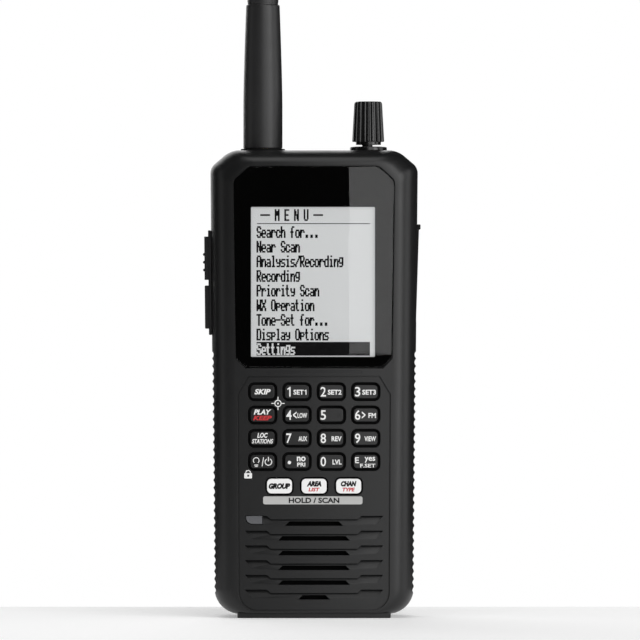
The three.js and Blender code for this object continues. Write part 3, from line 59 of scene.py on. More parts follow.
# %% Selecting
def only_nothing():
    """Leave edit mode and deselect everything."""
    if bpy.context.object and bpy.context.object.mode != "OBJECT":
        bpy.ops.object.mode_set(mode="OBJECT")
    bpy.ops.object.select_all(action="DESELECT")


def only(piece):
    """Select one object and make it active."""
    only_nothing()
    piece.select_set(True)
    bpy.context.view_layer.objects.active = piece
    return piece


def edit(piece, select="DESELECT"):
    """Open one object in edit mode with nothing selected, or, with SELECT, everything."""
    only(piece)
    bpy.ops.object.mode_set(mode="EDIT")
    bpy.ops.mesh.select_all(action=select)


def done():
    bpy.ops.object.mode_set(mode="OBJECT")


def pick_faces(piece, test):
    """In edit mode, select the faces whose centre and normal pass the test."""
    bpy.ops.mesh.select_mode(type="FACE")
    bpy.ops.mesh.select_all(action="DESELECT")
    shape = bmesh.from_edit_mesh(piece.data)
    for face in shape.faces:
        face.select_set(test(face.calc_center_median(), face.normal))
    shape.select_flush_mode()
    bmesh.update_edit_mesh(piece.data)


def pick_edges(piece, test, sharp=None):
    """In edit mode, select the edges whose two ends pass the test, and, with sharp, only real corners."""
    bpy.ops.mesh.select_mode(type="EDGE")
    bpy.ops.mesh.select_all(action="DESELECT")
    shape = bmesh.from_edit_mesh(piece.data)
    count = 0
    for edge in shape.edges:
        if sharp is not None and edge.calc_face_angle(0.0) < math.radians(sharp):
            continue
        if test(edge.verts[0].co) and test(edge.verts[1].co):
            edge.select_set(True)
            count += 1
    shape.select_flush_mode()
    bmesh.update_edit_mesh(piece.data)
    return count


print("selecting ready")

# %% [markdown]
# A boolean, a bevel and a smoothing are each used on many pieces, so each gets a short function that leaves
# nothing live behind: a modifier is added and applied at once, and the tool it cut with is deleted.

# %% Finishing a mesh
doubled = 0.002 * mm


def settle(piece):
    """Put the object's place, turn and scale into its mesh."""
    only(piece)
    bpy.ops.object.transform_apply(location=True, rotation=True, scale=True)
    return piece


def modifier(piece, kind, **settings):
    """Add one modifier and apply it at once."""
    only(piece)
    bpy.ops.object.modifier_add(type=kind)
    added = piece.modifiers[-1]
    for key, value in settings.items():
        setattr(added, key, value)
    bpy.ops.object.modifier_apply(modifier=added.name)
    return piece


def boolean(piece, other, how="DIFFERENCE"):
    """Cut with, join or keep what is shared with the other piece, which is then used up."""
    modifier(piece, "BOOLEAN", object=other, operation=how, solver="EXACT")
    only(other)
    bpy.ops.object.delete()
    return piece


def smooth(piece, angle=35):
    """Smooth shading in which a large flat face stays flat and only its rounded rims bend the light."""
    only(piece)
    bpy.ops.object.shade_smooth_by_angle(angle=math.radians(angle))
    return modifier(piece, "WEIGHTED_NORMAL", keep_sharp=True, weight=80)


def recalculate(piece):
    """Merge doubled corners and turn every face outwards."""
    edit(piece, "SELECT")
    bpy.ops.mesh.remove_doubles(threshold=doubled)
    bpy.ops.mesh.normals_make_consistent(inside=False)
    done()
    return piece


print("finishing ready")

# %% [markdown]
# Nearly everything on a moulded case is an outline with rounded corners pushed through a thickness. The
# outline is given by its few corners and their radii, drawn as one face, and extruded by the operator.

# %% Outlines
def outline(corners, steps=6):
    """Corners as (across, up, radius), anticlockwise; each radius becomes an arc."""
    points = []
    for i, (u, v, *rest) in enumerate(corners):
        radius = rest[0] if rest else 0
        corner = Vector((u, v))
        if not radius:
            points.append(corner)
            continue
        before = (Vector(corners[i - 1][:2]) - corner).normalized()
        after = (Vector(corners[(i + 1) % len(corners)][:2]) - corner).normalized()
        half = math.acos(max(-1, min(1, before.dot(after)))) / 2
        centre = corner + (before + after).normalized() * radius / math.sin(half)
        start = corner + before * radius / math.tan(half) - centre
        begin = math.atan2(start.y, start.x)
        for step in range(steps + 1):
            angle = begin + (math.pi - 2 * half) * step / steps
            points.append(centre + radius * Vector((math.cos(angle), math.sin(angle))))
    return points


def rectangle(u0, u1, v0, v1, radius=0, steps=6):
    return outline([(u0, v0, radius), (u1, v0, radius), (u1, v1, radius), (u0, v1, radius)], steps)


def circle(u, v, radius, sides=32):
    turn = 2 * math.pi / sides
    return [Vector((u + radius * math.cos(turn * i), v + radius * math.sin(turn * i))) for i in range(sides)]


print("outlines ready")

# %% Plates and turned pieces
PLANES = {
    "front": lambda u, v, w: (u, w, v),
    "side": lambda u, v, w: (w, u, v),
    "plan": lambda u, v, w: (u, v, w),
}


def drawn(name, corners, edges, faces):
    """A new object of these corners, edges and faces, open for editing with everything selected."""
    shape = bpy.data.meshes.new(name)
    shape.from_pydata(corners, edges, faces)
    piece = bpy.data.objects.new(name, shape)
    bpy.context.collection.objects.link(piece)
    edit(piece, "SELECT")
    return piece


def pushed(piece, way):
    """Extrude the selected faces of an open object and turn all its faces outwards."""
    bpy.ops.mesh.extrude_region_move(TRANSFORM_OT_translate={"value": way})
    bpy.ops.mesh.select_all(action="SELECT")
    bpy.ops.mesh.normals_make_consistent(inside=False)
    done()
    return piece


def plate(name, points, low, high, plane="front"):
    """An outline drawn as one face and extruded: in X and Z along Y, in Y and Z along X, or raised."""
    place = PLANES[plane]
    corners = [place(p[0], p[1], low) for p in points]
    return pushed(drawn(name, corners, [], [list(range(len(points)))]), place(0, 0, high - low))


def cut(piece, points, low, high, plane="front"):
    """Cut a piece with a plate."""
    return boolean(piece, plate("cut", points, low, high, plane))


def cuboid(name, low, high):
    """A cube primitive stretched between two corners."""
    only_nothing()
    middle = [(a + b) / 2 for a, b in zip(low, high)]
    bpy.ops.mesh.primitive_cube_add(size=1, location=middle)
    piece = bpy.context.object
    piece.name = name
    piece.scale = [b - a for a, b in zip(low, high)]
    return settle(piece)


def turned(name, profile, x, y, sides=48):
    """A profile of (radius, height) from the axis to the axis, spun about Z by the Spin operator."""
    edges = [(i, i + 1) for i in range(len(profile) - 1)]
    piece = drawn(name, [(x + radius, y, height) for radius, height in profile], edges, [])
    bpy.ops.mesh.spin(steps=sides, angle=2 * math.pi, center=(x, y, 0), axis=(0, 0, 1))
    done()
    return recalculate(piece)


def bevel(piece, test, width, segments=3, sharp=30, clamp=True):
    """Round the real corners whose ends pass the test."""
    edit(piece)
    if pick_edges(piece, test, sharp):
        bpy.ops.mesh.bevel(
            offset=width, segments=segments, affect="EDGES", profile=0.5, clamp_overlap=clamp)
    done()
    return piece


def merge(name, *parts):
    """Join several pieces into one object."""
    only(parts[0])
    for part in parts:
        part.select_set(True)
    if len(parts) > 1:
        bpy.ops.object.join()
    parts[0].name = name
    return parts[0]


def near(value, target, within=0.02 * mm):
    return abs(value - target) < within


# %% Dressing a piece
def dress(piece, material, body, slot, *nodes):
    """Give a finished piece its finish, its body and the CAD nodes it stands for; the slot is not used."""
    piece.data.materials.clear()
    piece.data.materials.append(material)
    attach(piece, body)
    if nodes:
        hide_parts(*nodes)
    return piece


print("tools ready")

# %% [markdown]
# ## Camera, light and floor
# The radio is seen square from the front, a little below half way up, by a long lens, so there is
# hardly any perspective. A dark room with soft boxes shows black plastic best: each box makes one clean
# highlight, and a card beside the camera gives the window the pale band that glossy plastic shows.

# %% Camera
VIEW_WIDTH = 204.8 * mm
VIEW_CENTRE = Vector((1.9 * mm, 0, 95.5 * mm))
CAMERA_DISTANCE = 2.4
SENSOR = 36.0
front_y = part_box("front_case")[0].y

camera_data = bpy.data.cameras.new("camera")
camera_data.sensor_width = SENSOR
camera_data.lens = SENSOR * CAMERA_DISTANCE / VIEW_WIDTH
camera = bpy.data.objects.new("camera", camera_data)
camera.location = (VIEW_CENTRE.x, front_y - CAMERA_DISTANCE, VIEW_CENTRE.z)
camera.rotation_euler = (math.radians(90), 0, 0)
bpy.context.collection.objects.link(camera)
bpy.context.scene.camera = camera
print("lens", round(camera_data.lens, 1))

# %% [markdown]
# Each soft box is an area lamp. It is given a radiance instead of a power, so that its size can change
# without changing how bright its reflection is. The white backdrop is seen by the camera only, since a
# white room would grey the black plastic all over.

# %% Lights
def soft_box(name, place, target, width, height, radiance):
    """A rectangular lamp that faces its target; its power keeps the radiance whatever its size."""
    lamp_data = bpy.data.lights.new(name, "AREA")
    lamp_data.shape = "RECTANGLE"
    lamp_data.size = width
    lamp_data.size_y = height
    lamp_data.energy = radiance * math.pi * width * height
    lamp = bpy.data.objects.new(name, lamp_data)
    lamp.location = place
    lamp.rotation_euler = (Vector(target) - Vector(place)).to_track_quat("-Z", "Y").to_euler()
    bpy.context.collection.objects.link(lamp)
    return lamp


middle = (0, 0, 0.09)
card_left, card_right = 20.5 * mm, 2.4
card_low, card_high = 73 * mm, 2.0
card_middle = ((card_left + card_right) / 2, camera.location.y, (card_low + card_high) / 2)
soft_box("card", card_middle, (card_middle[0], 0, card_middle[2]),
         card_right - card_left, card_high - card_low, 2.0)
soft_box("key_box", (0.78, -0.66, 0.3), middle, 0.4, 0.7, 3.4)
soft_box("right_box", (0.95, -0.05, 0.25), middle, 0.45, 0.8, 1.5)
soft_box("top_box", (0.0, -0.42, 0.95), middle, 0.8, 0.7, 1.9)
soft_box("left_box", (-0.9, -0.1, 0.3), middle, 0.35, 0.8, 0.45)
soft_box("back_box", (-0.3, 0.9, 0.5), middle, 0.9, 0.8, 2.0)

world = bpy.data.worlds.new("studio")
world.use_nodes = True
bpy.context.scene.world = world
links = world.node_tree.links
room = world.node_tree.nodes["Background"]
room.inputs["Color"].default_value = (1, 1, 1, 1)
room.inputs["Strength"].default_value = 0.03
backdrop = world.node_tree.nodes.new("ShaderNodeBackground")
backdrop.inputs["Color"].default_value = (1, 1, 1, 1)
backdrop.inputs["Strength"].default_value = 1.0
seen = world.node_tree.nodes.new("ShaderNodeLightPath")
choose = world.node_tree.nodes.new("ShaderNodeMixShader")
links.new(seen.outputs["Is Camera Ray"], choose.inputs["Fac"])
links.new(room.outputs["Background"], choose.inputs[1])
links.new(backdrop.outputs["Background"], choose.inputs[2])
links.new(choose.outputs["Shader"], world.node_tree.nodes["World Output"].inputs["Surface"])
bpy.context.scene.view_settings.view_transform = "Standard"
print("lamps:", len(bpy.data.lights))

# %% [markdown]
# The radio stands on a sheet of white paper that ends just behind it. The paper glows faintly, which
# keeps it as white as the backdrop and leaves only a soft shadow at the foot.

# %% Floor
only_nothing()
bpy.ops.mesh.primitive_plane_add(size=1.4, location=(0, -0.62, 0))
floor = bpy.context.object
floor.name = "floor"
floor_paint = bpy.data.materials.new("floor_paint")
floor_paint.use_nodes = True
paper = floor_paint.node_tree.nodes["Principled BSDF"]
paper.inputs["Base Color"].default_value = (0.93, 0.93, 0.93, 1)
paper.inputs["Roughness"].default_value = 0.8
paper.inputs["Emission Color"].default_value = (1, 1, 1, 1)
paper.inputs["Emission Strength"].default_value = 0.3
floor.data.materials.append(floor_paint)
print("floor ready")

# %% [markdown]
# ## Finishes
# Moulded plastic is never one flat colour: the mould's spark-eroded grain breaks up its highlights, and
# handling polishes it unevenly. One function builds that from three noises in object space, which stay
# fixed to the piece when it moves: a broad one for the colour, a middle one for the polish and a fine one
# for the grain. Printed ink, glass and metal are made by the same function with less grain.

# %% Finish function
crown_reach = 25 * mm


def finish(name, colour, roughness, grain=0.0, grain_size=0.35, mottle=0.05, polish=0.06, metallic=0.0,
           coat=0.0, shine=0.5, crown=0.0, glow=0.0):
    """A finish. Grain is a size in millimetres and a height as a share of it; crown is the slope, at
    crown_reach off centre, of a face that looks flat but was moulded with a slight curve across."""
    material = bpy.data.materials.new(name)
    material.use_nodes = True
    nodes = material.node_tree.nodes
    link = material.node_tree.links.new
    shader = nodes["Principled BSDF"]
    shader.inputs["Metallic"].default_value = metallic
    shader.inputs["Specular IOR Level"].default_value = shine
    shader.inputs["Coat Weight"].default_value = coat
    shader.inputs["Coat Roughness"].default_value = 0.05
    place = nodes.new("ShaderNodeTexCoord")

    def noise(size_mm, detail):
        node = nodes.new("ShaderNodeTexNoise")
        node.inputs["Scale"].default_value = 1 / (size_mm * mm)
        node.inputs["Detail"].default_value = detail
        link(place.outputs["Object"], node.inputs["Vector"])
        return node.outputs["Fac"]

    tint = nodes.new("ShaderNodeMapRange")
    tint.inputs["To Min"].default_value = 1 - mottle
    tint.inputs["To Max"].default_value = 1 + mottle
    link(noise(14, 3), tint.inputs["Value"])
    shade = nodes.new("ShaderNodeVectorMath")
    shade.operation = "SCALE"
    shade.inputs[0].default_value = colour
    link(tint.outputs["Result"], shade.inputs["Scale"])
    link(shade.outputs["Vector"], shader.inputs["Base Color"])

    gloss = nodes.new("ShaderNodeMapRange")
    gloss.inputs["To Min"].default_value = max(0.02, roughness - polish)
    gloss.inputs["To Max"].default_value = min(1.0, roughness + polish)
    link(noise(6, 4), gloss.inputs["Value"])
    link(gloss.outputs["Result"], shader.inputs["Roughness"])

    if glow:
        shader.inputs["Emission Color"].default_value = (*colour, 1)
        shader.inputs["Emission Strength"].default_value = glow
    if grain:
        bump = nodes.new("ShaderNodeBump")
        bump.inputs["Distance"].default_value = grain * grain_size * mm
        bump.inputs["Strength"].default_value = 1.0
        link(noise(grain_size, 2), bump.inputs["Height"])
        link(bump.outputs["Normal"], shader.inputs["Normal"])
        if crown:
            apart = nodes.new("ShaderNodeSeparateXYZ")
            link(place.outputs["Object"], apart.inputs["Vector"])
            square = nodes.new("ShaderNodeMath")
            square.operation = "MULTIPLY"
            link(apart.outputs["X"], square.inputs[0])
            link(apart.outputs["X"], square.inputs[1])
            curve = nodes.new("ShaderNodeBump")
            curve.inputs["Distance"].default_value = 1.0
            curve.inputs["Strength"].default_value = 1.0
            scaled = nodes.new("ShaderNodeMath")
            scaled.operation = "MULTIPLY"
            scaled.inputs[1].default_value = -crown / (2 * crown_reach)
            link(square.outputs["Value"], scaled.inputs[0])
            link(scaled.outputs["Value"], curve.inputs["Height"])
            link(bump.outputs["Normal"], curve.inputs["Normal"])
            link(curve.outputs["Normal"], shader.inputs["Normal"])
    return material


print("finish function ready")

# %% [markdown]
# The case and keys are the same near-black resin, the keys a little smoother. Rubber is duller, inks are
# matt, and the display's grey is helped by a faint painted glow that brightens it beyond what the lamps give.

# %% Finishes used
case_plastic = finish("case_plastic", (0.006, 0.0061, 0.0064), 0.36, grain=0.03, grain_size=0.4,
                      crown=0.13, shine=0.42)
key_plastic = finish("key_plastic", (0.005, 0.005, 0.0052), 0.38, grain=0.02, grain_size=0.4, crown=0.13)
white_plastic = finish("white_plastic", (0.9, 0.9, 0.895), 0.35, grain=0.02, mottle=0.02)
knob_plastic = finish("knob_plastic", (0.005, 0.005, 0.0052), 0.2, grain=0.01, mottle=0.08)
lens_black = finish("lens_black", (0.0006, 0.0006, 0.0006), 0.9, mottle=0.02, polish=0.02, shine=0.0)
rubber = finish("rubber", (0.013, 0.013, 0.0134), 0.42, grain=0.06, grain_size=0.5, mottle=0.1)
soft_rubber = finish("soft_rubber", (0.008, 0.008, 0.0083), 0.62, grain=0.08, grain_size=0.5, shine=0.1)
light_plastic = finish("light_plastic", (0.09, 0.092, 0.1), 0.3, grain=0.02, coat=0.4)
# Painted light: the display's grey glows faintly so that it reads brighter than the lamps alone make it.
display_grey = finish("display_grey", (0.56, 0.57, 0.572), 0.5, mottle=0.015, shine=0.1, glow=0.6)
display_ink = finish("display_ink", (0.004, 0.004, 0.005), 0.5, mottle=0.02, shine=0.1)
white_ink = finish("white_ink", (0.85, 0.85, 0.84), 0.5, mottle=0.03)
red_ink = finish("red_ink", (0.55, 0.015, 0.02), 0.5, mottle=0.04)
dark_ink = finish("dark_ink", (0.006, 0.006, 0.0065), 0.6, mottle=0.05, shine=0.2)
grey_ink = finish("grey_ink", (0.5, 0.5, 0.49), 0.5, mottle=0.03)
steel = finish("steel", (0.55, 0.56, 0.57), 0.28, grain=0.02, grain_size=0.6, metallic=1.0)
brass = finish("brass", (0.8, 0.6, 0.28), 0.25, metallic=1.0, mottle=0.03)
board_green = finish("board_green", (0.02, 0.12, 0.05), 0.35, mottle=0.1, coat=0.3)
cone_paper = finish("cone_paper", (0.003, 0.003, 0.003), 0.95, grain=0.2, grain_size=0.6, shine=0.05)
cell_jacket = finish("cell_jacket", (0.03, 0.14, 0.3), 0.3, mottle=0.04, coat=0.3)
acetal = finish("acetal", (0.75, 0.74, 0.7), 0.4, mottle=0.03)
print("finishes:", len(bpy.data.materials))

# %% [markdown]
# ## The two case halves
# A case half is a flat face with a broad rounded shoulder that falls away to straight sides. It could be
# a box with a bevel, but the shoulder is wide at the sides, narrower at the top and hardly there at the
# bottom, which one bevel can't be. So the outline is drawn once at full size and its end face is extruded
# again and again, shrinking by a quarter ellipse each time, as a potter closes a bowl.

# %% Outline of the case
front_low, front_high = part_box("front_case")
rear_low, rear_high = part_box("rear_case")
foot_height = 1.2 * mm
foot_half = 24.6 * mm
foot_inset = 2 * mm
case_top = front_high.z
half_top = front_high.x + 0.02 * mm
side_taper = 1.4 * mm
wall = 2.0 * mm
front_wall = 2.4 * mm
over = 1 * mm  # how far a tool reaches past what it cuts
print("case", round(case_top / mm, 1), "mm high")


def half_width(z):
    """Half the width of the case where its sides are straight."""
    return half_top - side_taper * (case_top - z) / (case_top - foot_height)


def case_half(name, face, straight, end, inset, side, top, bottom, steps=9):
    """Closed form of one case half: straight sides, then a shoulder that shrinks to the flat face."""
    low = foot_height + inset
    high = case_top - inset
    wide_low = half_width(low) - inset
    wide_high = half_width(high) - inset
    corner_low = 8.2 * mm - inset / 2
    across, down = 6.6 * mm - inset / 2, 5.6 * mm - inset / 2
    ring = outline([
        (-wide_low, low, corner_low), (wide_low, low, corner_low),
        (wide_high, high - down, 4 * mm), (wide_high - across, high, 8 * mm),
        (-wide_high + across, high, 8 * mm), (-wide_high, high - down, 4 * mm),
    ], 10)
    piece = plate(name, ring, min(straight, end), max(straight, end))
    straight_middle = half_width((low + high) / 2) - inset
    towards = math.copysign(1, face - straight)
    depth = abs(face - straight)
    edit(piece)
    pick_faces(piece, lambda centre, normal: normal.y * towards > 0.9)
    before = 0.0
    sunk = 0.0
    for step in range(1, steps + 1):
        angle = math.pi / 2 * step / steps
        share = 1 - math.cos(angle)
        rise = math.sin(angle) * depth
        bpy.ops.mesh.extrude_region_move(
            TRANSFORM_OT_translate={"value": (0, towards * (rise - sunk), 0)})
        width_now = 2 * (straight_middle - side * before)
        width_next = 2 * (straight_middle - side * share)
        height_now = high - low - (top + bottom) * before
        height_next = high - low - (top + bottom) * share
        pivot = low + (high - low) * (bottom / (top + bottom))
        bpy.ops.transform.resize(
            value=(width_next / width_now, 1, height_next / height_now),
            center_override=(0, 0, pivot))
        before = share
        sunk = rise
    done()
    return piece


# %% [markdown]
# The same form a wall smaller hollows the shell. The foot is a plain block with softened lower edges.

# %% Front shell
front_face = front_low.y
wall_back = front_face + front_wall
front_end = front_high.y
shoulder_side, shoulder_top, shoulder_bottom = 7.2 * mm, 4.6 * mm, 0.9 * mm
shoulder_end = front_face + 8.0 * mm
front_shell = case_half("front_shell", front_face, shoulder_end, front_end, 0,
                        shoulder_side, shoulder_top, shoulder_bottom)
hollow = case_half("hollow", wall_back, shoulder_end, front_end + over, wall,
                   shoulder_side - wall, shoulder_top - wall, 0.3 * mm)
boolean(front_shell, hollow)


def case_foot(start, end):
    """The foot under one case half, between two depths."""
    piece = plate("foot", rectangle(-foot_half, foot_half, start, end, 0.8 * mm),
                  0, foot_height + over, "plan")
    return bevel(piece, lambda co: near(co.z, 0), 0.3 * mm, 2)


foot = case_foot(front_face + foot_inset, front_end)
boolean(front_shell, foot, "UNION")
print("front shell faces:", len(front_shell.data.polygons))

# %% [markdown]
# ## Openings in the front
# A mould makes each recess with its own core, so each is cut here by its own plate: the panel that the
# keys and grille share, the pocket and the opening of the window, a hole for every key, and the louvres.
# Cutting before rounding keeps every rim a clean loop on a flat face, which the Bevel operator can take
# all at once; those small radii are what draws the bright and dark lines round each opening.

# %% Places on the front
window_low, window_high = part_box("display_window")
panel_floor = front_face + 0.4 * mm
panel_low = foot_height + 1.2 * mm
panel_high = window_low.z - 2.6 * mm
panel_half = 24.5 * mm
key_lip = 0.6 * mm
key_gap = 0.45 * mm
key_corner = 1.5 * mm
key_names = sorted(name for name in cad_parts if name.startswith("key_"))


def key_span(name):
    """Left, right, lower and upper edge of a key's cap, without the lip behind the wall."""
    low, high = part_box(name)
    return low.x + key_lip, high.x - key_lip, low.z + key_lip, high.z - key_lip


light_lip = 0.5 * mm
grille_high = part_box("alert_light")[1].z - light_lip
louvre_pitch = 4.72 * mm
louvre_height = 3.2 * mm
louvre_depth = 1.1 * mm
slot_height, slot_slant = 1.45 * mm, 1.4 * mm
slot_halves = [9.3, 11.5, 11.5, 11.5, 11.5, 5.1]
fit = 0.15 * mm
print("keys:", len(key_names))


def window_outline(margin, steps=8):
    """The window's outline, let out all round by a margin."""
    low, high = window_low.z - margin, window_high.z + margin
    bottom, top = 25.0 * mm + margin, 25.8 * mm + margin
    chamfer, across, down = 3.2 * mm, 5.1 * mm, 4.6 * mm
    return outline([
        (-bottom + chamfer, low), (bottom - chamfer, low), (bottom, low + chamfer),
        (top, high - down, 2.6 * mm), (top - across, high, 3.2 * mm),
        (-top + across, high, 3.2 * mm), (-top, high - down, 2.6 * mm), (-bottom, low + chamfer),
    ], steps)


# %% [markdown]
# The panel is a shallow recess with cut-off upper corners. A mould's cutter leaves a finer line along its
# edge, so a second, deeper cut follows the outline and keeps only a thin frame of it.

# %% Panel and window
panel_line, line_depth = 0.4 * mm, 0.3 * mm


def panel_outline(inset):
    """The panel's outline, drawn in by an inset; the slanted corners move in with it."""
    half, low, high = panel_half - inset, panel_low + inset, panel_high - inset
    bend, slant = panel_high - 5.8 * mm - 0.375 * inset, panel_half - 3.5 * mm - 0.5 * inset
    return outline([
        (-half + panel_line, low, 6 * mm - inset), (half - panel_line, low, 6 * mm - inset),
        (half, bend), (slant, high), (-slant, high), (-half, bend),
    ], 10)


cut(front_shell, panel_outline(0), front_face - over, panel_floor)
line = plate("line", panel_outline(0), front_face - over, panel_floor + line_depth)
boolean(line, plate("inside", panel_outline(panel_line), front_face - 2 * over, panel_floor + over))
boolean(front_shell, line)
pocket = front_face + 1.4 * mm
window_ledge = 1 * mm
cut(front_shell, window_outline(fit), front_face - over, pocket)
cut(front_shell, window_outline(-window_ledge), front_face - 2 * over, wall_back + over)
print("front shell faces:", len(front_shell.data.polygons))

# %% [markdown]
# A short shallow groove lies between the window and the panel.

# %% Groove between window and panel
groove_low, groove_high = panel_high + 0.8 * mm, panel_high + 1.7 * mm
groove = plate("cut", outline([
    (-15.2 * mm, groove_low), (15.4 * mm, groove_low), (15.0 * mm, groove_high), (-15.0 * mm, groove_high),
]), front_face - over, front_face + 0.25 * mm)
boolean(front_shell, groove)
print("groove cut")

# %% [markdown]
# The nineteen key holes are made as nineteen plates, joined, and cut in one go.

# %% Key holes
holes = []
for name in key_names:
    left, right, low, high = key_span(name)
    holes.append(plate("hole", rectangle(
        left - key_gap, right + key_gap, low - key_gap, high + key_gap, key_corner + key_gap, 5),
        front_face - over, wall_back + over))
boolean(front_shell, merge("holes", *holes))
print("key holes:", len(holes))

# %% [markdown]
# Each louvre is a wedge: flush with the panel at its foot and deepest under its top edge, where it leads
# into a slot. The wedge is an upright triangle pushed sideways, trimmed by the row's own outline, which
# steps down in the middle and slants at its ends.

# %% Louvres
louvre_half, louvre_slant = 22.1 * mm, 2.7 * mm
step_near, step_far, step_rise = 13.9 * mm, 15.1 * mm, 1.1 * mm


def louvre(row):
    """One row of the grille: its wedge, then the slot that it leads into."""
    high = grille_high - row * louvre_pitch
    low = high - louvre_height
    deep = panel_floor + louvre_depth
    start = low + 0.55 * mm
    wedge = plate("wedge", [
        (panel_floor - over, start), (panel_floor, start), (deep, high), (panel_floor - over, high),
    ], -louvre_half - 0.1 * mm, louvre_half + 0.1 * mm, "side")
    foot_end = louvre_half - louvre_slant
    trim = plate("trim", outline([
        (-foot_end, low), (foot_end, low), (louvre_half, high), (step_far, high),
        (step_near, high - step_rise), (-step_near, high - step_rise), (-step_far, high),
        (-louvre_half, high),
    ]), front_face - 2 * over, wall_back)
    boolean(wedge, trim, "INTERSECT")
    half = slot_halves[row] * mm
    opening = plate("slot", outline([
        (-half, low), (half, low), (half - slot_slant, low + slot_height),
        (-half + slot_slant, low + slot_height),
    ]), front_face - 2 * over, wall_back + over)
    boolean(front_shell, wedge)
    boolean(front_shell, opening)


for row in range(len(slot_halves)):
    louvre(row)
print("louvres:", len(slot_halves))

# %% [markdown]
# The alert light takes the place of the left end of the first louvre, and one of its corners is round.

# %% Alert light opening
light_left, light_right = -21.8 * mm - fit, -16.6 * mm + fit
light_low, light_high = grille_high - 2.6 * mm - fit, grille_high + fit
light_opening = outline([
    (light_left, light_low, 2.1 * mm), (light_right, light_low),
    (light_right, light_high), (light_left, light_high),
], 8)
cut(front_shell, light_opening, front_face - over, wall_back + over)
print("front shell faces:", len(front_shell.data.polygons))

# %% [markdown]
# The sides carry the grip: a run of ribs that fits a hand. Each groove is a slim cylinder laid front to
# back and let a little way into the wall, which leaves the rounded crests between them.

# %% Grip ribs
rib_low, rib_count, rib_pitch, rib_depth = 7.5 * mm, 32, 2.44 * mm, 0.45 * mm
rib_radius = 1.45 * mm


def rib_grooves(piece, start, end):
    """Cut the ribs' grooves down both sides of a case half, between two depths."""
    for side in (-1, 1):
        grooves = []
        for rib in range(rib_count):
            z = rib_low + (rib + 0.5) * rib_pitch
            x = side * (half_width(z) - rib_depth + rib_radius)
            only_nothing()
            bpy.ops.mesh.primitive_cylinder_add(
                vertices=24, radius=rib_radius, depth=end - start, location=(x, (start + end) / 2, z),
                rotation=(math.radians(90), 0, 0))
            grooves.append(settle(bpy.context.object))
        boolean(piece, merge("grooves", *grooves))


rib_grooves(front_shell, front_face + 4.4 * mm, front_end + 2 * over)
print("ribs:", rib_count, "a side")

# %% [markdown]
# The top has three holes, for the antenna's jack, the knob's bushing and the earphone socket. The left
# side has one for the side buttons, and the right side has a shallow seat for the socket's cover with the
# socket's own opening through it.

# %% Holes in the top and sides
whip_low, whip_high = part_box("antenna_whip")
knob_low, knob_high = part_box("volume_knob")
jack_low, jack_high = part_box("earphone_jack")
bezel_low, bezel_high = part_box("side_key_bezel")
flap_low, flap_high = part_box("usb_cover")
antenna_x = (whip_low.x + whip_high.x) / 2
knob_x = (knob_low.x + knob_high.x) / 2
jack_x = (jack_low.x + jack_high.x) / 2
for x, radius in ((antenna_x, 3.3), (knob_x, 3.55), (jack_x, 3.15)):
    hole = circle(x, 0, radius * mm)
    cut(front_shell, hole, case_top - 2 * wall, case_top + over, "plan")


def side_cut(low, high, reach):
    """Cut a side of the case from outside its wall to `reach`, between two corners in Y and Z."""
    ends = sorted((reach, math.copysign(half_top + 2 * over, reach)))
    opening = rectangle(low[0], high[0], low[1], high[1], 0.6 * mm, 3)
    cut(front_shell, opening, ends[0], ends[1], "side")


side_y = (flap_low.y + flap_high.y) / 2
inside_wall = 30 * mm
sleeve_half, sleeve_end = 3.7 * mm, 0.85 * mm
side_cut((side_y - sleeve_half, bezel_low.z + sleeve_end),
         (side_y + sleeve_half, bezel_high.z - sleeve_end), -inside_wall)
flap_notch, flap_seat = 1.9 * mm, 1.05 * mm
side_cut((flap_low.y - fit, flap_low.z - flap_notch), (flap_high.y + fit, flap_high.z + fit),
         half_width(flap_low.z) - flap_seat)
plug_z = (flap_low.z + flap_high.z) / 2
plug_half, plug_rise = 2.6 * mm, 5.4 * mm
side_cut((side_y - plug_half, plug_z - plug_rise), (side_y + plug_half, plug_z + plug_rise), inside_wall)
print("front shell faces:", len(front_shell.data.polygons))

# %% [markdown]
# The rims are rounded last, in groups, because one tight spot holds back the whole of a bevel: first the
# rims on the front face, then those on the panel's floor, then the edge at the seam between the halves.

# %% Rounded rims
recalculate(front_shell)
front_rims = [
    (panel_low - over, panel_high + 0.2 * mm),
    (window_low.z - over, window_low.z + 6 * mm),
    (groove_low - 0.1 * mm, groove_high + 0.1 * mm),
]
for low, high in front_rims:
    bevel(front_shell, lambda co: near(co.y, front_face) and low < co.z < high, 0.3 * mm, 4)
strip_level = 38 * mm
for low, high in ((strip_level, panel_high - 0.5 * mm), (panel_low + 0.5 * mm, strip_level)):
    bevel(front_shell, lambda co: near(co.y, panel_floor) and low < co.z < high
          and abs(co.x) < panel_half - over, 0.14 * mm, 2)


def seam_edge(depth):
    """A test for the outer edge of a case half where it meets the other half."""
    return lambda co: near(co.y, depth) and co.z > 1 * mm and abs(co.x) > half_width(co.z) - 1 * mm


bevel(front_shell, seam_edge(front_end), 0.2 * mm, 2)
smooth(front_shell, 32)
dress(front_shell, case_plastic, "root", "case", "front_case")
print("front shell faces:", len(front_shell.data.polygons))

# %% [markdown]
# ## The back half
# The rear half is closed the same way, with rounder ends than the front has. The battery cover slides in a
# pocket that is open at the bottom, the clip's bracket sits in a shallow recess so that it can't turn, and
# the four screws reach the front half through stepped holes.

# %% Rear shell
rear_face = rear_high.y
rear_start = rear_low.y
parting = front_end + 0.3 * mm
back_side, back_end = 6.1 * mm, 4.5 * mm
back_straight = rear_face - 6 * mm
rear_shell = case_half("rear_shell", rear_face, back_straight, parting, 0, back_side, back_end, back_end)
hollow = case_half("hollow", rear_face - wall, back_straight, parting - over, wall,
                   back_side - wall, back_end - wall, back_end - wall)
boolean(rear_shell, hollow)
print("rear shell faces:", len(rear_shell.data.polygons))

# %% [markdown]
# Inside the back a box holds the cells, and a frame round the cover's opening stiffens it and carries the
# grooves that the cover slides in.

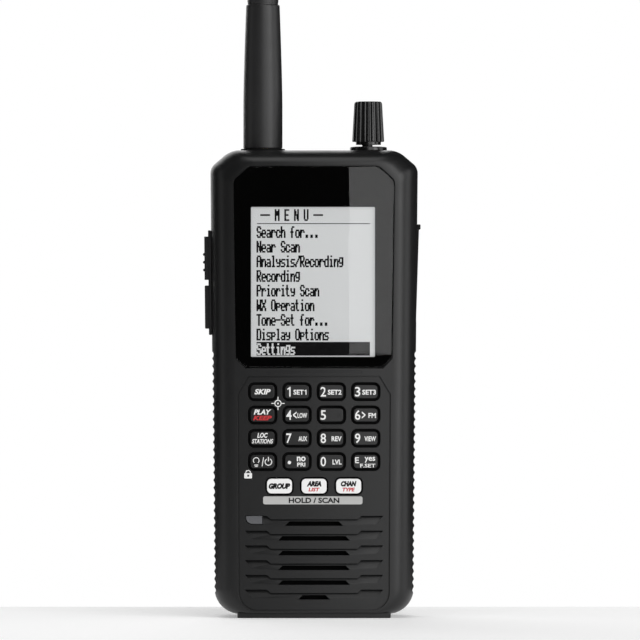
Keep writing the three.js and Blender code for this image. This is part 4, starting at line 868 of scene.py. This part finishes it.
# %% Battery box
cover_low, cover_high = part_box("battery_cover")
cover_tongue = 0.9 * mm
cover_half = cover_high.x - cover_tongue
bay_wall = 1.2 * mm
bay_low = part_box("battery_contact_low")[0].z - 0.1 * mm
bay_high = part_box("battery_contact_high")[1].z + 0.1 * mm
bay_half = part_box("battery_contact_low")[1].x + 0.15 * mm
bracket_low, bracket_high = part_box("clip_bracket")
frame_half = cover_high.x + bay_wall
boolean(rear_shell, case_foot(parting, rear_face - foot_inset), "UNION")
tray = cuboid("tray", (-bay_half - bay_wall, rear_start, bay_low - bay_wall),
              (bay_half + bay_wall, cover_low.y, bay_high + bay_wall))
boolean(rear_shell, tray, "UNION")
surround = cuboid("surround", (-frame_half, cover_low.y - 3 * mm, foot_height + over),
                  (frame_half, rear_face - 0.7 * mm, cover_high.z + wall))
boolean(rear_shell, surround, "UNION")
rib_grooves(rear_shell, parting - 2 * over, rear_face - 3.4 * mm)
print("battery box ready")

# %% [markdown]
# The upper screws and the clip's screw run in round posts behind the wall.

# %% Posts for the upper screws and the clip
screws = ["case_screw_low_left", "case_screw_low_right", "case_screw_high_left", "case_screw_high_right"]
screw_head = 1.6 * mm
screw_places = []
for name in screws:
    low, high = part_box(name)
    screw_places.append(((low.x + high.x) / 2, (low.z + high.z) / 2, high.y - screw_head))
for x, z, seat in screw_places[2:]:
    boolean(rear_shell, plate("post", circle(x, z, 3.2 * mm), parting, rear_face - 1.2 * mm), "UNION")
clip_screw_low, clip_screw_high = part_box("clip_screw")
clip_screw_z = (clip_screw_low.z + clip_screw_high.z) / 2
clip_post = plate("post", circle(0, clip_screw_z, 2.6 * mm), rear_face - 7 * mm, rear_face - 1 * mm)
boolean(rear_shell, clip_post, "UNION")
print("posts:", 3)

# %% [markdown]
# The back is opened in the order a hand would cut it: the box for the cells, the cover's pocket and its
# grooves, the seat of the clip's bracket, and a stepped hole for every screw. Its rims are rounded last.

# %% Openings in the back
slide = 0.25 * mm
outside = rear_face + over
pocket_floor = cover_low.y - 0.3 * mm
pocket_half, groove_half = cover_half + slide, cover_high.x + slide
pocket_top = cover_high.z + slide
boolean(rear_shell, cuboid("cut", (-bay_half, rear_start + bay_wall, bay_low), (bay_half, outside, bay_high)))
boolean(rear_shell, cuboid("cut", (-pocket_half, pocket_floor, -over), (pocket_half, outside, pocket_top)))
boolean(rear_shell, cuboid("cut", (-groove_half, pocket_floor, -over),
                           (groove_half, cover_low.y + 1.15 * mm, pocket_top)))
bracket_seat = rectangle(bracket_low.x - fit, bracket_high.x + fit, bracket_low.z - fit, bracket_high.z + fit)
cut(rear_shell, bracket_seat, rear_face - 0.6 * mm, outside)
screw_hole, head_hole = 1.25 * mm, 2.55 * mm
clip_hole = circle(0, clip_screw_z, screw_hole, 20)
cut(rear_shell, clip_hole, rear_face - 6 * mm, outside)
for x, z, seat in screw_places:
    cut(rear_shell, circle(x, z, head_hole), seat - 0.1 * mm, outside)
    cut(rear_shell, circle(x, z, screw_hole, 20), parting - over, outside)
recalculate(rear_shell)
bevel(rear_shell, lambda co: near(co.y, rear_face), 0.25 * mm, 3)
bevel(rear_shell, seam_edge(parting), 0.2 * mm, 2)
smooth(rear_shell, 32)
dress(rear_shell, case_plastic, "root", "case", "rear_case")
print("rear shell faces:", len(rear_shell.data.polygons))

# %% [markdown]
# ## Pieces that keep their CAD form
# The small fittings already have their true shape, but a frame's solid has knife edges, and no moulding
# or stamping does. A copy of each is merged into a proper mesh, its flat faces are made whole again, and
# its corners are rounded, which is quicker and truer than modelling them again.

# %% Refined copies
def refined(node, name, width, segments, material, body, slot):
    """A copy of a CAD solid with whole flat faces and rounded corners, which stands for that solid."""
    piece = bpy.data.objects.new(name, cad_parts[node].data.copy())
    bpy.context.collection.objects.link(piece)
    edit(piece, "SELECT")
    bpy.ops.mesh.remove_doubles(threshold=doubled)
    bpy.ops.mesh.dissolve_limited(angle_limit=math.radians(2))
    done()
    bevel(piece, lambda co: True, width, segments)
    smooth(piece)
    return dress(piece, material, body, slot, node)


refined("battery_cover", "sliding_cover", 0.3 * mm, 3, case_plastic, "battery_cover", "case")
refined("belt_clip", "clip_lever", 0.35 * mm, 3, case_plastic, "belt_clip", "case")
refined("clip_bracket", "clip_mount", 0.2 * mm, 2, steel, "root", "steel")
refined("side_key_bezel", "side_frame", 0.3 * mm, 3, case_plastic, "root", "case")
refined("func_button", "upper_side_button", 0.25 * mm, 3, key_plastic, "func_button", "keys")
refined("menu_button", "lower_side_button", 0.35 * mm, 3, key_plastic, "menu_button", "keys")
refined("usb_cover", "socket_flap", 0.25 * mm, 3, soft_rubber, "usb_cover", "rubber")
for name in screws + ["clip_screw"]:
    refined(name, name + "_head", 0.08 * mm, 2, steel, "root", "steel")
print("refined pieces ready")

# %% [markdown]
# ## Window and display
# The window is one clear plate. Its black border is a layer of ink on the back of that plate, left open
# over the display, so that the border and the opening share one unbroken glossy surface in front. The
# display lies a millimetre behind, where the ink throws a soft shadow on it.

# %% Clear plastic
def clear_plastic(name):
    """Lets light straight through and mirrors a little, more so at a slant."""
    material = bpy.data.materials.new(name)
    material.use_nodes = True
    nodes = material.node_tree.nodes
    link = material.node_tree.links.new
    nodes.remove(nodes["Principled BSDF"])
    through = nodes.new("ShaderNodeBsdfTransparent")
    through.inputs["Color"].default_value = (0.97, 0.97, 0.97, 1)
    mirror = nodes.new("ShaderNodeBsdfGlossy")
    mirror.inputs["Roughness"].default_value = 0.004
    fresnel = nodes.new("ShaderNodeFresnel")
    fresnel.inputs["IOR"].default_value = 1.36
    mix = nodes.new("ShaderNodeMixShader")
    link(fresnel.outputs["Fac"], mix.inputs["Fac"])
    link(through.outputs["BSDF"], mix.inputs[1])
    link(mirror.outputs["BSDF"], mix.inputs[2])
    link(mix.outputs["Shader"], nodes["Material Output"].inputs["Surface"])
    return material


window_clear = clear_plastic("window_clear")
print("clear plastic ready")

# %% [markdown]
# The plate and its ink are two thin pieces, one just behind the other, and both stand for the window.

# %% Window
clear_left, clear_right = -20.2 * mm, 19.5 * mm
clear_low, clear_high = 83.7 * mm, 131.7 * mm
ink_front = window_high.y - 0.05 * mm
pane = plate("window_pane", window_outline(0, 14), window_low.y, ink_front)
bevel(pane, lambda co: near(co.y, window_low.y), 0.5 * mm, 5, clamp=False)
smooth(pane)
dress(pane, window_clear, "root", "lens", "display_window")
border = plate("window_border", window_outline(-0.05 * mm, 14), ink_front + 0.005 * mm, window_high.y)
cut(border, rectangle(clear_left, clear_right, clear_low, clear_high, 0.3 * mm, 4),
    window_low.y - over, window_high.y + over)
dress(border, lens_black, "root", "lens", "display_window")
print("window faces:", len(pane.data.polygons) + len(border.data.polygons))

# %% [markdown]
# The display's grey glass lies on the front of its module and reaches a little behind the ink all round.

# %% Display glass
glass_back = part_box("lcd_module")[0].y - 0.02 * mm
glass_front = glass_back - 0.12 * mm
glass_outline = rectangle(clear_left - 1.2 * mm, clear_right + 1.2 * mm,
                          clear_low - 0.8 * mm, clear_high + 0.8 * mm)
glass = plate("display_glass", glass_outline, glass_front, glass_back)
# The glass takes the display grey with its painted glow.
dress(glass, display_grey, "root", "display")
print("display glass ready")

# %% [markdown]
# The display shows characters five dots wide and seven tall. Each row of a character is a number from 0
# to 31, whose binary digits are its dots from left to right.

# %% Characters
CHARACTERS = {
    "A": (14, 17, 17, 31, 17, 17, 17), "C": (14, 17, 16, 16, 16, 17, 14), "D": (30, 17, 17, 17, 17, 17, 30),
    "E": (31, 16, 16, 30, 16, 16, 31), "M": (17, 27, 21, 21, 17, 17, 17), "N": (17, 25, 25, 21, 19, 19, 17),
    "O": (14, 17, 17, 17, 17, 17, 14), "P": (30, 17, 17, 30, 16, 16, 16), "R": (30, 17, 17, 30, 20, 18, 17),
    "S": (14, 17, 16, 14, 1, 17, 14), "T": (31, 4, 4, 4, 4, 4, 4), "U": (17, 17, 17, 17, 17, 17, 14),
    "W": (17, 17, 17, 21, 21, 27, 17), "X": (17, 17, 10, 4, 10, 17, 17), "a": (0, 0, 14, 1, 15, 17, 15),
    "c": (0, 0, 14, 17, 16, 17, 14), "d": (1, 1, 15, 17, 17, 17, 15), "e": (0, 0, 14, 17, 31, 16, 14),
    "f": (6, 8, 8, 28, 8, 8, 8), "g": (0, 15, 17, 17, 15, 1, 14), "h": (16, 16, 22, 25, 17, 17, 17),
    "i": (4, 0, 12, 4, 4, 4, 14), "l": (12, 4, 4, 4, 4, 4, 14), "n": (0, 0, 22, 25, 17, 17, 17),
    "o": (0, 0, 14, 17, 17, 17, 14), "p": (0, 0, 30, 17, 30, 16, 16), "r": (0, 0, 22, 25, 16, 16, 16),
    "s": (0, 0, 15, 16, 14, 1, 30), "t": (8, 8, 28, 8, 8, 8, 6), "y": (0, 0, 17, 17, 15, 1, 14),
    ".": (0, 0, 0, 0, 0, 12, 12), "/": (1, 1, 2, 4, 8, 16, 16), "-": (0, 0, 0, 31, 0, 0, 0), " ": (0,) * 7,
}
MENU = [
    "Search for...", "Near Scan", "Analysis/Recording", "Recording", "Priority Scan",
    "WX Operation", "Tone-Set for...", "Display Options", "Settings",
]
print("characters:", len(CHARACTERS))

# %% [markdown]
# Dots that touch are drawn as one run, a little wider than its dots, as the liquid crystal's edges bleed.

# %% Display text
dot_width, dot_height, dot_spread = 0.2575 * mm, 0.54 * mm, 0.15 * mm
character_pitch = 6
ink_thick = 0.02 * mm
text_left, text_right = -18.3 * mm, 17.9 * mm
header_high, menu_high, menu_pitch = 131.0 * mm, 125.55 * mm, 4.69 * mm
text_front = glass_front - ink_thick


def write_dots(name, text, left, high, back, front, material):
    """One object whose every run of dots is a face, pushed forward together."""
    corners, faces = [], []
    for place, character in enumerate(text):
        for row, bits in enumerate(CHARACTERS[character]):
            dots = f"{bits:05b}"
            v = high - (row + 1) * dot_height
            for column in range(5):
                starts = dots[column] == "1" and (column == 0 or dots[column - 1] == "0")
                if not starts:
                    continue
                length = len(dots[column:].split("0")[0])
                u = left + (place * character_pitch + column) * dot_width - dot_spread
                end = u + length * dot_width + 2 * dot_spread
                first = len(corners)
                top = v + dot_height
                corners += [(u, back, v), (end, back, v), (end, back, top), (u, back, top)]
                faces.append(tuple(range(first, first + 4)))
    piece = pushed(drawn(name, corners, [], faces), (0, front - back, 0))
    return dress(piece, material, "root", "display")


write_dots("display_header", "-- M E N U --", text_left + 1.2 * mm, header_high,
           glass_front, text_front, display_ink)
underline = cuboid("display_underline", (text_left, text_front, 126.25 * mm),
                   (text_right, glass_front, 126.5 * mm))
dress(underline, display_ink, "root", "display")
for row, text in enumerate(MENU[:-1]):
    high = menu_high - row * menu_pitch
    write_dots(f"display_row_{row + 1}", text, text_left, high, glass_front, text_front, display_ink)
bar_high = menu_high - (len(MENU) - 1) * menu_pitch
bar = cuboid("display_bar", (text_left - 0.1 * mm, text_front, bar_high - 3.95 * mm),
             (text_right, glass_front, bar_high + 0.45 * mm))
dress(bar, display_ink, "root", "display")
# The chosen row's letters also take the display grey with its painted glow.
write_dots("display_chosen", MENU[-1], text_left, bar_high,
           text_front, text_front - ink_thick, display_grey)
print("display rows:", len(MENU) + 1)

# %% [markdown]
# ## Keys
# Each cap is its outline pushed forward through the case with a rounded rim, on a wider lip that stays
# behind the wall and rests on the rubber mat. The lips are dull dark rubber, also under the three white
# caps, where the dark lip is painted shade that keeps the gap round the cap black. The key in the middle
# has a small nub to find it by.

# %% Key caps
print_depth = 0.02 * mm
cap_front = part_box("key_5")[0].y + print_depth
cap_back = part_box("key_5")[1].y
white_keys = ["key_bank", "key_group", "key_channel"]


def find_by_touch(cap, x, z):
    """Cut a small moat into a cap, which leaves a nub standing in it."""
    moat = plate("moat", circle(x, z, 0.6 * mm, 24), cap_front - over, cap_front + 0.25 * mm)
    boolean(moat, plate("nub", circle(x, z, 0.35 * mm, 24), cap_front - 2 * over, cap_back))
    boolean(cap, moat)


for name in key_names:
    white = name in white_keys
    draft, edge = (0.1 * mm, 0.18 * mm) if white else (0.44 * mm, 0.22 * mm)
    left, right, low, high = key_span(name)
    lip_low, lip_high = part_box(name)
    face = rectangle(left + draft, right - draft, low + draft, high - draft, key_corner - draft, 6)
    cap = plate(name + "_cap", face, cap_front, cap_back)
    bevel(cap, lambda co: near(co.y, cap_front), edge, 4, clamp=False)
    rim = rectangle(lip_low.x, lip_high.x, lip_low.z, lip_high.z, 0.5 * mm, 3)
    lip = plate(name + "_lip", rim, wall_back + 0.1 * mm, cap_back)
    if name == "key_5":
        find_by_touch(cap, (left + right) / 2 + 2.2 * mm, (low + high) / 2 - 0.1 * mm)
    # Painted shade: every lip takes the dark, dull rubber, so under a white cap it darkens the gap round it.
    dress(lip, soft_rubber, name, "keys")
    recalculate(cap)
    smooth(cap)
    dress(cap, white_plastic if white else key_plastic, name, "white_keys" if white else "keys", name)
print("key caps:", len(key_names))

# %% [markdown]
# The keys are printed with digits and short words. Each word is typed as a text object, made a mesh, and
# fitted to its own small box by moving, scaling and turning it in edit mode.

# %% Print
letter_thick = 0.02


def lettering(text, left, right, low, high, front, slant=0.0, weight=0.02):
    """A word as a thin mesh that fills a box exactly, facing the front."""
    only_nothing()
    bpy.ops.object.text_add()
    word = bpy.context.object
    word.data.body = text
    word.data.shear = slant
    word.data.offset = weight
    word.data.resolution_u = 3
    word.data.extrude = letter_thick / 2
    bpy.ops.object.convert(target="MESH")
    word = bpy.context.object
    across = [corner.co.x for corner in word.data.vertices]
    up = [corner.co.y for corner in word.data.vertices]
    wide = (right - left) / (max(across) - min(across))
    tall = (high - low) / (max(up) - min(up))
    edit(word, "SELECT")
    bpy.ops.transform.translate(value=(-min(across), -min(up), 0))
    bpy.ops.transform.resize(
        value=(wide, tall, print_depth / letter_thick), center_override=(0, 0, 0))
    bpy.ops.transform.rotate(
        value=-math.pi / 2, orient_axis="X", orient_type="GLOBAL", center_override=(0, 0, 0))
    bpy.ops.transform.translate(value=(left, front + print_depth / 2, low))
    bpy.ops.mesh.select_all(action="SELECT")
    bpy.ops.mesh.normals_make_consistent(inside=False)
    done()
    return word


key_middle = {}
for name in key_names:
    left, right, low, high = key_span(name)
    key_middle[name] = ((left + right) / 2, (low + high) / 2)
ink_place = cap_front - print_depth


def label(key, text, across, up, width, height, slant=0.0, weight=0.02):
    """A word on a key, centred at an offset in millimetres from the key's middle."""
    x, z = key_middle[key]
    x, z = x + across * mm, z + up * mm
    half, rise = width * mm / 2, height * mm / 2
    return lettering(text, x - half, x + half, z - rise, z + rise, ink_place, slant, weight)


def printed(key, kind, ink, *words):
    """Join a key's words into one piece that rides on the key."""
    piece = merge(f"{key}_{kind}", *words)
    return dress(piece, ink, key, "white_keys" if key in white_keys else "keys")


def figure_one(x, low, height, stroke):
    """The figure 1: an upright with a short flag at its top left."""
    top = low + height
    flag = 0.55 * stroke + 0.12 * height
    return plate("one", [
        (x, low), (x + stroke, low), (x + stroke, top), (x + 0.35 * stroke, top),
        (x - flag, top - 0.2 * height), (x - flag, top - 0.32 * height), (x, top - 0.22 * height),
    ], ink_place, ink_place + print_depth)


print("lettering ready")

# %% [markdown]
# Digits stand at the left of a key and its second use at the right. The figure 1 in this typeface is a
# bare stroke, so it is drawn with its flag as an outline of its own.

# %% Digits
digit_across, digit_width, digit_height = -2.55, 1.75, 3.1
word_end, word_up, word_height = 3.3, -0.15, 1.6
thin, medium, bold, heavy = 0.012, 0.03, 0.04, 0.075

DIGIT_KEYS = {
    "key_1": ("1", "SET", 3.3), "key_2": ("2", "SET2", 4.4), "key_3": ("3", "SET3", 4.4),
    "key_4": ("4", "LOW", 3.1), "key_5": ("5", "", 0), "key_6": ("6", "FM", 2.4),
    "key_7": ("7", "AUX", 2.8), "key_8": ("8", "REV", 3.2), "key_9": ("9", "VIEW", 3.7),
    "key_0": ("0", "LVL", 2.9),
}
for key, (digit, word, width) in DIGIT_KEYS.items():
    x, z = key_middle[key]
    if digit == "1":
        words = [figure_one(x - 2.45 * mm, z - 1.55 * mm, 3.1 * mm, 0.45 * mm),
                 figure_one(x + 2.75 * mm, z - 0.95 * mm, 1.6 * mm, 0.34 * mm),
                 label(key, word, 2.2 - width / 2, word_up, width, word_height, 0, medium)]
    else:
        words = [label(key, digit, digit_across, 0, digit_width, digit_height, 0, thin)]
        if word:
            words.append(label(key, word, word_end - width / 2, word_up, width, word_height, 0, medium))
    if key in ("key_4", "key_6"):
        words.append(label(key, "<" if key == "key_4" else ">", -0.65, 0, 1.15, 2.3, 0, 0.015))
    printed(key, "print", white_ink, *words)
print("lettered keys:", len(DIGIT_KEYS))

# %% [markdown]
# The other keys carry a word or two, most of them slanted, with a second use in red. The words are plain
# ones, and their sizes are in millimetres: across and up from the key's middle, then width and height.

# %% Words on the other keys
italic = 0.25
WORDED_KEYS = [
    ("key_skip", "print", white_ink, [("SKIP", 0, 0, 5.2, 1.75, italic, bold)]),
    ("key_replay", "print", white_ink, [("PLAY", 0, 0.95, 5.6, 1.65, italic, bold)]),
    ("key_replay", "print_low", red_ink, [("KEEP", 0, -0.95, 6.0, 1.45, italic, bold)]),
    ("key_zone", "print", white_ink, [
        ("LOC", 0, 0.95, 3.4, 1.6, italic, bold), ("STATIONS", 0, -0.95, 6.8, 1.45, italic, medium)]),
    ("key_enter", "print", white_ink, [
        ("E", -2.75, 0.45, 1.2, 1.9), ("yes", 1.35, 0.6, 3.4, 1.85), ("F.SET", 0.7, -1.3, 4.9, 1.2)]),
    ("key_bank", "print", dark_ink, [("GROUP", 0, 0, 6.9, 1.85, italic, heavy)]),
    ("key_group", "print", dark_ink, [("AREA", 0, 0.75, 4.7, 1.75, italic, heavy)]),
    ("key_group", "print_low", red_ink, [("LIST", 0, -1.1, 3.6, 1.2, 0.2, bold)]),
    ("key_channel", "print", dark_ink, [("CHAN", 0, 0.75, 5.0, 1.75, italic, heavy)]),
    ("key_channel", "print_low", red_ink, [("TYPE", 0, -1.1, 4.0, 1.2, 0.2, bold)]),
]
for key, kind, ink, words in WORDED_KEYS:
    printed(key, kind, ink, *[label(key, *word) for word in words])
print("prints on the other keys:", len(WORDED_KEYS))

# %% [markdown]
# Signs are outlines as thick as the ink: a dot, a lamp with its cap and foot, a stroke, and the ring and
# bar that mean power.

# %% Signs on the keys
def sign(points, front):
    """An outline as thick as the ink."""
    return plate("sign", points, front, front + print_depth)


def ring_sign(x, z, outer, inner, front, start=0.0, sweep=360.0, steps=28):
    """A flat ring, or part of one, drawn along its outer edge and back along its inner edge."""
    angles = [math.radians(start + sweep * i / steps) for i in range(steps + 1)]
    if sweep >= 360:
        ring = plate("sign", circle(x, z, outer, steps), front, front + print_depth)
        cut(ring, circle(x, z, inner, steps), front - over, front + over)
        return ring
    points = [(x + outer * math.cos(a), z + outer * math.sin(a)) for a in angles]
    points += [(x + inner * math.cos(a), z + inner * math.sin(a)) for a in reversed(angles)]
    return plate("sign", points, front, front + print_depth)


x, z = key_middle["key_dot"]
printed("key_dot", "print", white_ink,
        sign(circle(x - 2.4 * mm, z - 0.3 * mm, 0.55 * mm, 20), ink_place),
        label("key_dot", "no", 1.4, 0.85, 2.8, 1.55, 0, medium),
        label("key_dot", "PRI", 1.4, -0.95, 2.6, 1.25, 0, medium))
x, z = key_middle["key_power"]
bulb_x, power_x = x - 2.0 * mm, x + 1.9 * mm
printed("key_power", "print", white_ink,
        ring_sign(bulb_x, z + 0.35 * mm, 1.05 * mm, 0.8 * mm, ink_place, -50, 280),
        sign(rectangle(bulb_x - 0.6 * mm, bulb_x + 0.6 * mm, z - 1.25 * mm, z - 0.95 * mm), ink_place),
        sign(rectangle(bulb_x - 0.45 * mm, bulb_x + 0.45 * mm, z - 1.7 * mm, z - 1.45 * mm), ink_place),
        sign([(x - 0.25 * mm, z - 1.5 * mm), (x, z - 1.5 * mm), (x + 0.45 * mm, z + 1.4 * mm),
              (x + 0.2 * mm, z + 1.4 * mm)], ink_place),
        ring_sign(power_x, z - 0.1 * mm, 1.2 * mm, 0.92 * mm, ink_place, 120, 300),
        sign(rectangle(power_x - 0.15 * mm, power_x + 0.15 * mm, z + 0.1 * mm, z + 1.5 * mm), ink_place))
print("signs ready")

# %% [markdown]
# The panel itself carries a grey strip with two words under the white keys, a sight between the first two
# rows, and a padlock beside the power key.

# %% Print on the panel
panel_ink = panel_floor - print_depth
strip = plate("panel_strip", rectangle(-16.3 * mm, 15.5 * mm, 36.5 * mm, 39.05 * mm, 0.6 * mm, 5),
              panel_ink, panel_floor - 0.002 * mm)
dress(strip, grey_ink, "root", "case")
strip_words = lettering("HOLD / SCAN", -8.1 * mm, 8.1 * mm, 36.9 * mm, 38.65 * mm, panel_ink - print_depth,
                        0, 0.035)
strip_words.name = "panel_strip_print"
dress(strip_words, dark_ink, "root", "case")
sight_x, sight_z = -11.55 * mm, 68.8 * mm
arm_near, arm_far, arm_half = 1.1 * mm, 2.1 * mm, 0.14 * mm
marks = [ring_sign(sight_x, sight_z, 1.15 * mm, 0.85 * mm, panel_ink),
         sign(circle(sight_x, sight_z, 0.3 * mm, 16), panel_ink)]
for way in (-1, 1):
    near_end, far_end = sorted((way * arm_near, way * arm_far))
    marks.append(sign(rectangle(sight_x + near_end, sight_x + far_end,
                                sight_z - arm_half, sight_z + arm_half), panel_ink))
    marks.append(sign(rectangle(sight_x - arm_half, sight_x + arm_half,
                                sight_z + near_end, sight_z + far_end), panel_ink))
lock_x, lock_z = -21.1 * mm, 46.2 * mm
lock = sign(rectangle(lock_x - 1.25 * mm, lock_x + 1.25 * mm, lock_z - 1.4 * mm, lock_z + 0.3 * mm,
                      0.2 * mm, 3), panel_ink)
keyhole = circle(lock_x, lock_z - 0.55 * mm, 0.33 * mm, 16)
cut(lock, keyhole, panel_ink - over, panel_ink + over)
marks += [lock, ring_sign(lock_x, lock_z + 0.4 * mm, 0.9 * mm, 0.58 * mm, panel_ink, 0, 180)]
dress(merge("panel_signs", *marks), white_ink, "root", "case")
print("print ready")

# %% [markdown]
# ## Top fittings
# The antenna is a rubber sleeve moulded over its connector, thick at the foot and slimmer above a thin
# groove. The knob is a turned cap with twenty shallow flutes cut down its sides.

# %% Antenna
antenna_y = (whip_low.y + whip_high.y) / 2
whip_radius = (whip_high.x - whip_low.x) / 2
plug_low, plug_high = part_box("antenna_connector")
plug_radius = (plug_high.x - plug_low.x) / 2 + 0.1 * mm
groove_z = case_top + 47.4 * mm
tip_radius = 4.0 * mm


def whip_profile():
    """The sleeve's outline, from inside its foot up its side to the tip."""
    points = [(0, plug_high.z + 0.1 * mm), (plug_radius, plug_high.z + 0.1 * mm), (plug_radius, whip_low.z),
              (whip_radius - 0.35 * mm, whip_low.z), (whip_radius - 0.1 * mm, whip_low.z + 0.1 * mm),
              (whip_radius, whip_low.z + 0.35 * mm)]
    straight = whip_low.z + 14 * mm
    for step in range(17):
        share = step / 16
        height = straight + (groove_z - 0.7 * mm - straight) * share
        points.append((whip_radius - (whip_radius - 5.4 * mm) * share ** 1.35, height))
    points += [(5.3 * mm, groove_z - 0.5 * mm), (4.95 * mm, groove_z - 0.35 * mm), (4.9 * mm, groove_z),
               (4.9 * mm, groove_z + 0.3 * mm), (5.0 * mm, groove_z + 0.55 * mm)]
    shoulder = whip_high.z - tip_radius
    for step in range(1, 15):
        share = step / 14
        points.append((5.0 * mm - (5.0 * mm - tip_radius) * share, groove_z + (shoulder - groove_z) * share))
    for step in range(1, 12):
        angle = math.pi / 2 * step / 12
        points.append((tip_radius * math.cos(angle), shoulder + tip_radius * math.sin(angle)))
    points.append((0, whip_high.z))
    return points


whip = turned("antenna_sleeve", whip_profile(), antenna_x, antenna_y, 72)
smooth(whip, 40)
dress(whip, rubber, "antenna", "rubber", "antenna_whip")
refined("antenna_washer", "antenna_seat_ring", 0.12 * mm, 3, soft_rubber, "antenna_seat", "rubber")
print("antenna faces:", len(whip.data.polygons))

# %% [markdown]
# The knob's skirt leans in towards its top, so the cutter for a flute is a slim cylinder that leans with
# it. It is turned about the knob's axis, once for each flute, and all of them cut in one go.

# %% Knob
knob_y = (knob_low.y + knob_high.y) / 2
shaft_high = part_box("encoder_shaft")[1].z + 0.05 * mm
shaft_radius = 2.05 * mm
skirt_radius = 5.15 * mm
neck_radius, neck_high = 4.1 * mm, knob_low.z + 0.95 * mm
cap_radius = 4.5 * mm
knob = turned("knob_cap", [
    (0, shaft_high), (shaft_radius, shaft_high), (shaft_radius, knob_low.z), (neck_radius, knob_low.z),
    (neck_radius, neck_high), (skirt_radius - 0.2 * mm, neck_high), (skirt_radius, neck_high + 0.2 * mm),
    (skirt_radius - 0.06 * mm, neck_high + 1.4 * mm), (cap_radius, knob_high.z - 0.9 * mm),
    (cap_radius - 0.15 * mm, knob_high.z - 0.35 * mm), (cap_radius - 0.5 * mm, knob_high.z - 0.06 * mm),
    (cap_radius - 0.9 * mm, knob_high.z), (3.0 * mm, knob_high.z), (2.8 * mm, knob_high.z - 0.12 * mm),
    (0, knob_high.z - 0.15 * mm),
], knob_x, knob_y, 120)
flute_count, flute_radius = 20, 0.62 * mm
flute_low, flute_high = neck_high - 0.5 * mm, knob_high.z + 1.5 * mm
lean = math.atan2(skirt_radius - cap_radius, knob_high.z - neck_high)
flutes = []
for index in range(flute_count):
    turn = 2 * math.pi * (index + 0.5) / flute_count
    only_nothing()
    bpy.ops.mesh.primitive_cylinder_add(
        vertices=16, radius=flute_radius, depth=flute_high - flute_low, end_fill_type="NGON")
    flute = bpy.context.object
    edit(flute, "SELECT")
    bpy.ops.transform.translate(value=(0, 0, (flute_high - flute_low) / 2))
    bpy.ops.transform.rotate(
        value=lean, orient_axis="Y", orient_type="GLOBAL", center_override=(0, 0, 0))
    bpy.ops.transform.translate(value=(skirt_radius + flute_radius * 0.3, 0, 0))
    bpy.ops.transform.rotate(
        value=turn, orient_axis="Z", orient_type="GLOBAL", center_override=(0, 0, 0))
    bpy.ops.transform.translate(value=(knob_x, knob_y, flute_low))
    done()
    flutes.append(flute)
boolean(knob, merge("flutes", *flutes))
recalculate(knob)
smooth(knob, 30)
dress(knob, knob_plastic, "knob", "knob", "volume_knob")
print("knob faces:", len(knob.data.polygons))

# %% [markdown]
# A thin flange under the knob hides the hole in the case.

# %% Flange under the knob
flange_low, flange_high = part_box("encoder_nut")
flange_radius = (flange_high.x - flange_low.x) / 2
bushing_radius = 3.4 * mm
flange = turned("knob_flange", [
    (bushing_radius, flange_low.z), (flange_radius - 0.1 * mm, flange_low.z),
    (flange_radius, flange_low.z + 0.1 * mm), (flange_radius, flange_high.z - 0.4 * mm),
    (flange_radius - 0.12 * mm, flange_high.z - 0.12 * mm), (flange_radius - 0.4 * mm, flange_high.z),
    (bushing_radius, flange_high.z), (bushing_radius, flange_low.z),
], knob_x, knob_y, 64)
smooth(flange)
dress(flange, knob_plastic, "root", "knob", "encoder_nut")
print("flange faces:", len(flange.data.polygons))

# %% [markdown]
# The alert light's lens and the earphone socket are refined copies too, in finishes of their own.

# %% Light and jack
refined("alert_light", "light_lens", 0.15 * mm, 3, light_plastic, "root", "light")
refined("earphone_jack", "earphone_socket", 0.08 * mm, 2, key_plastic, "root", "knob")
print("light and jack ready")

# %% [markdown]
# ## Parts that stay as they are
# Inside the case, and where only a little shows through a slot or under the clip, the CAD solids already
# have the right shape, and each gets the finish of what it is made of.

# %% Inner parts
INSIDE = {
    "lcd_module": key_plastic, "keypad_mat": soft_rubber, "keypad_board": board_green,
    "speaker": cone_paper, "speaker_mesh": cone_paper, "main_board": board_green, "rf_shield": steel,
    "usb_socket": steel, "sma_jack": brass, "antenna_connector": brass, "encoder_body": key_plastic,
    "encoder_rotor": acetal, "encoder_shaft": key_plastic, "battery_contact_low": acetal,
    "battery_contact_high": acetal, "battery_cell_left": cell_jacket, "battery_cell_middle": cell_jacket,
    "battery_cell_right": cell_jacket, "clip_pin": steel, "clip_spring": steel,
}
for name, material in INSIDE.items():
    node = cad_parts[name]
    node.data.materials.clear()
    node.data.materials.append(material)
print("inner parts:", len(INSIDE))
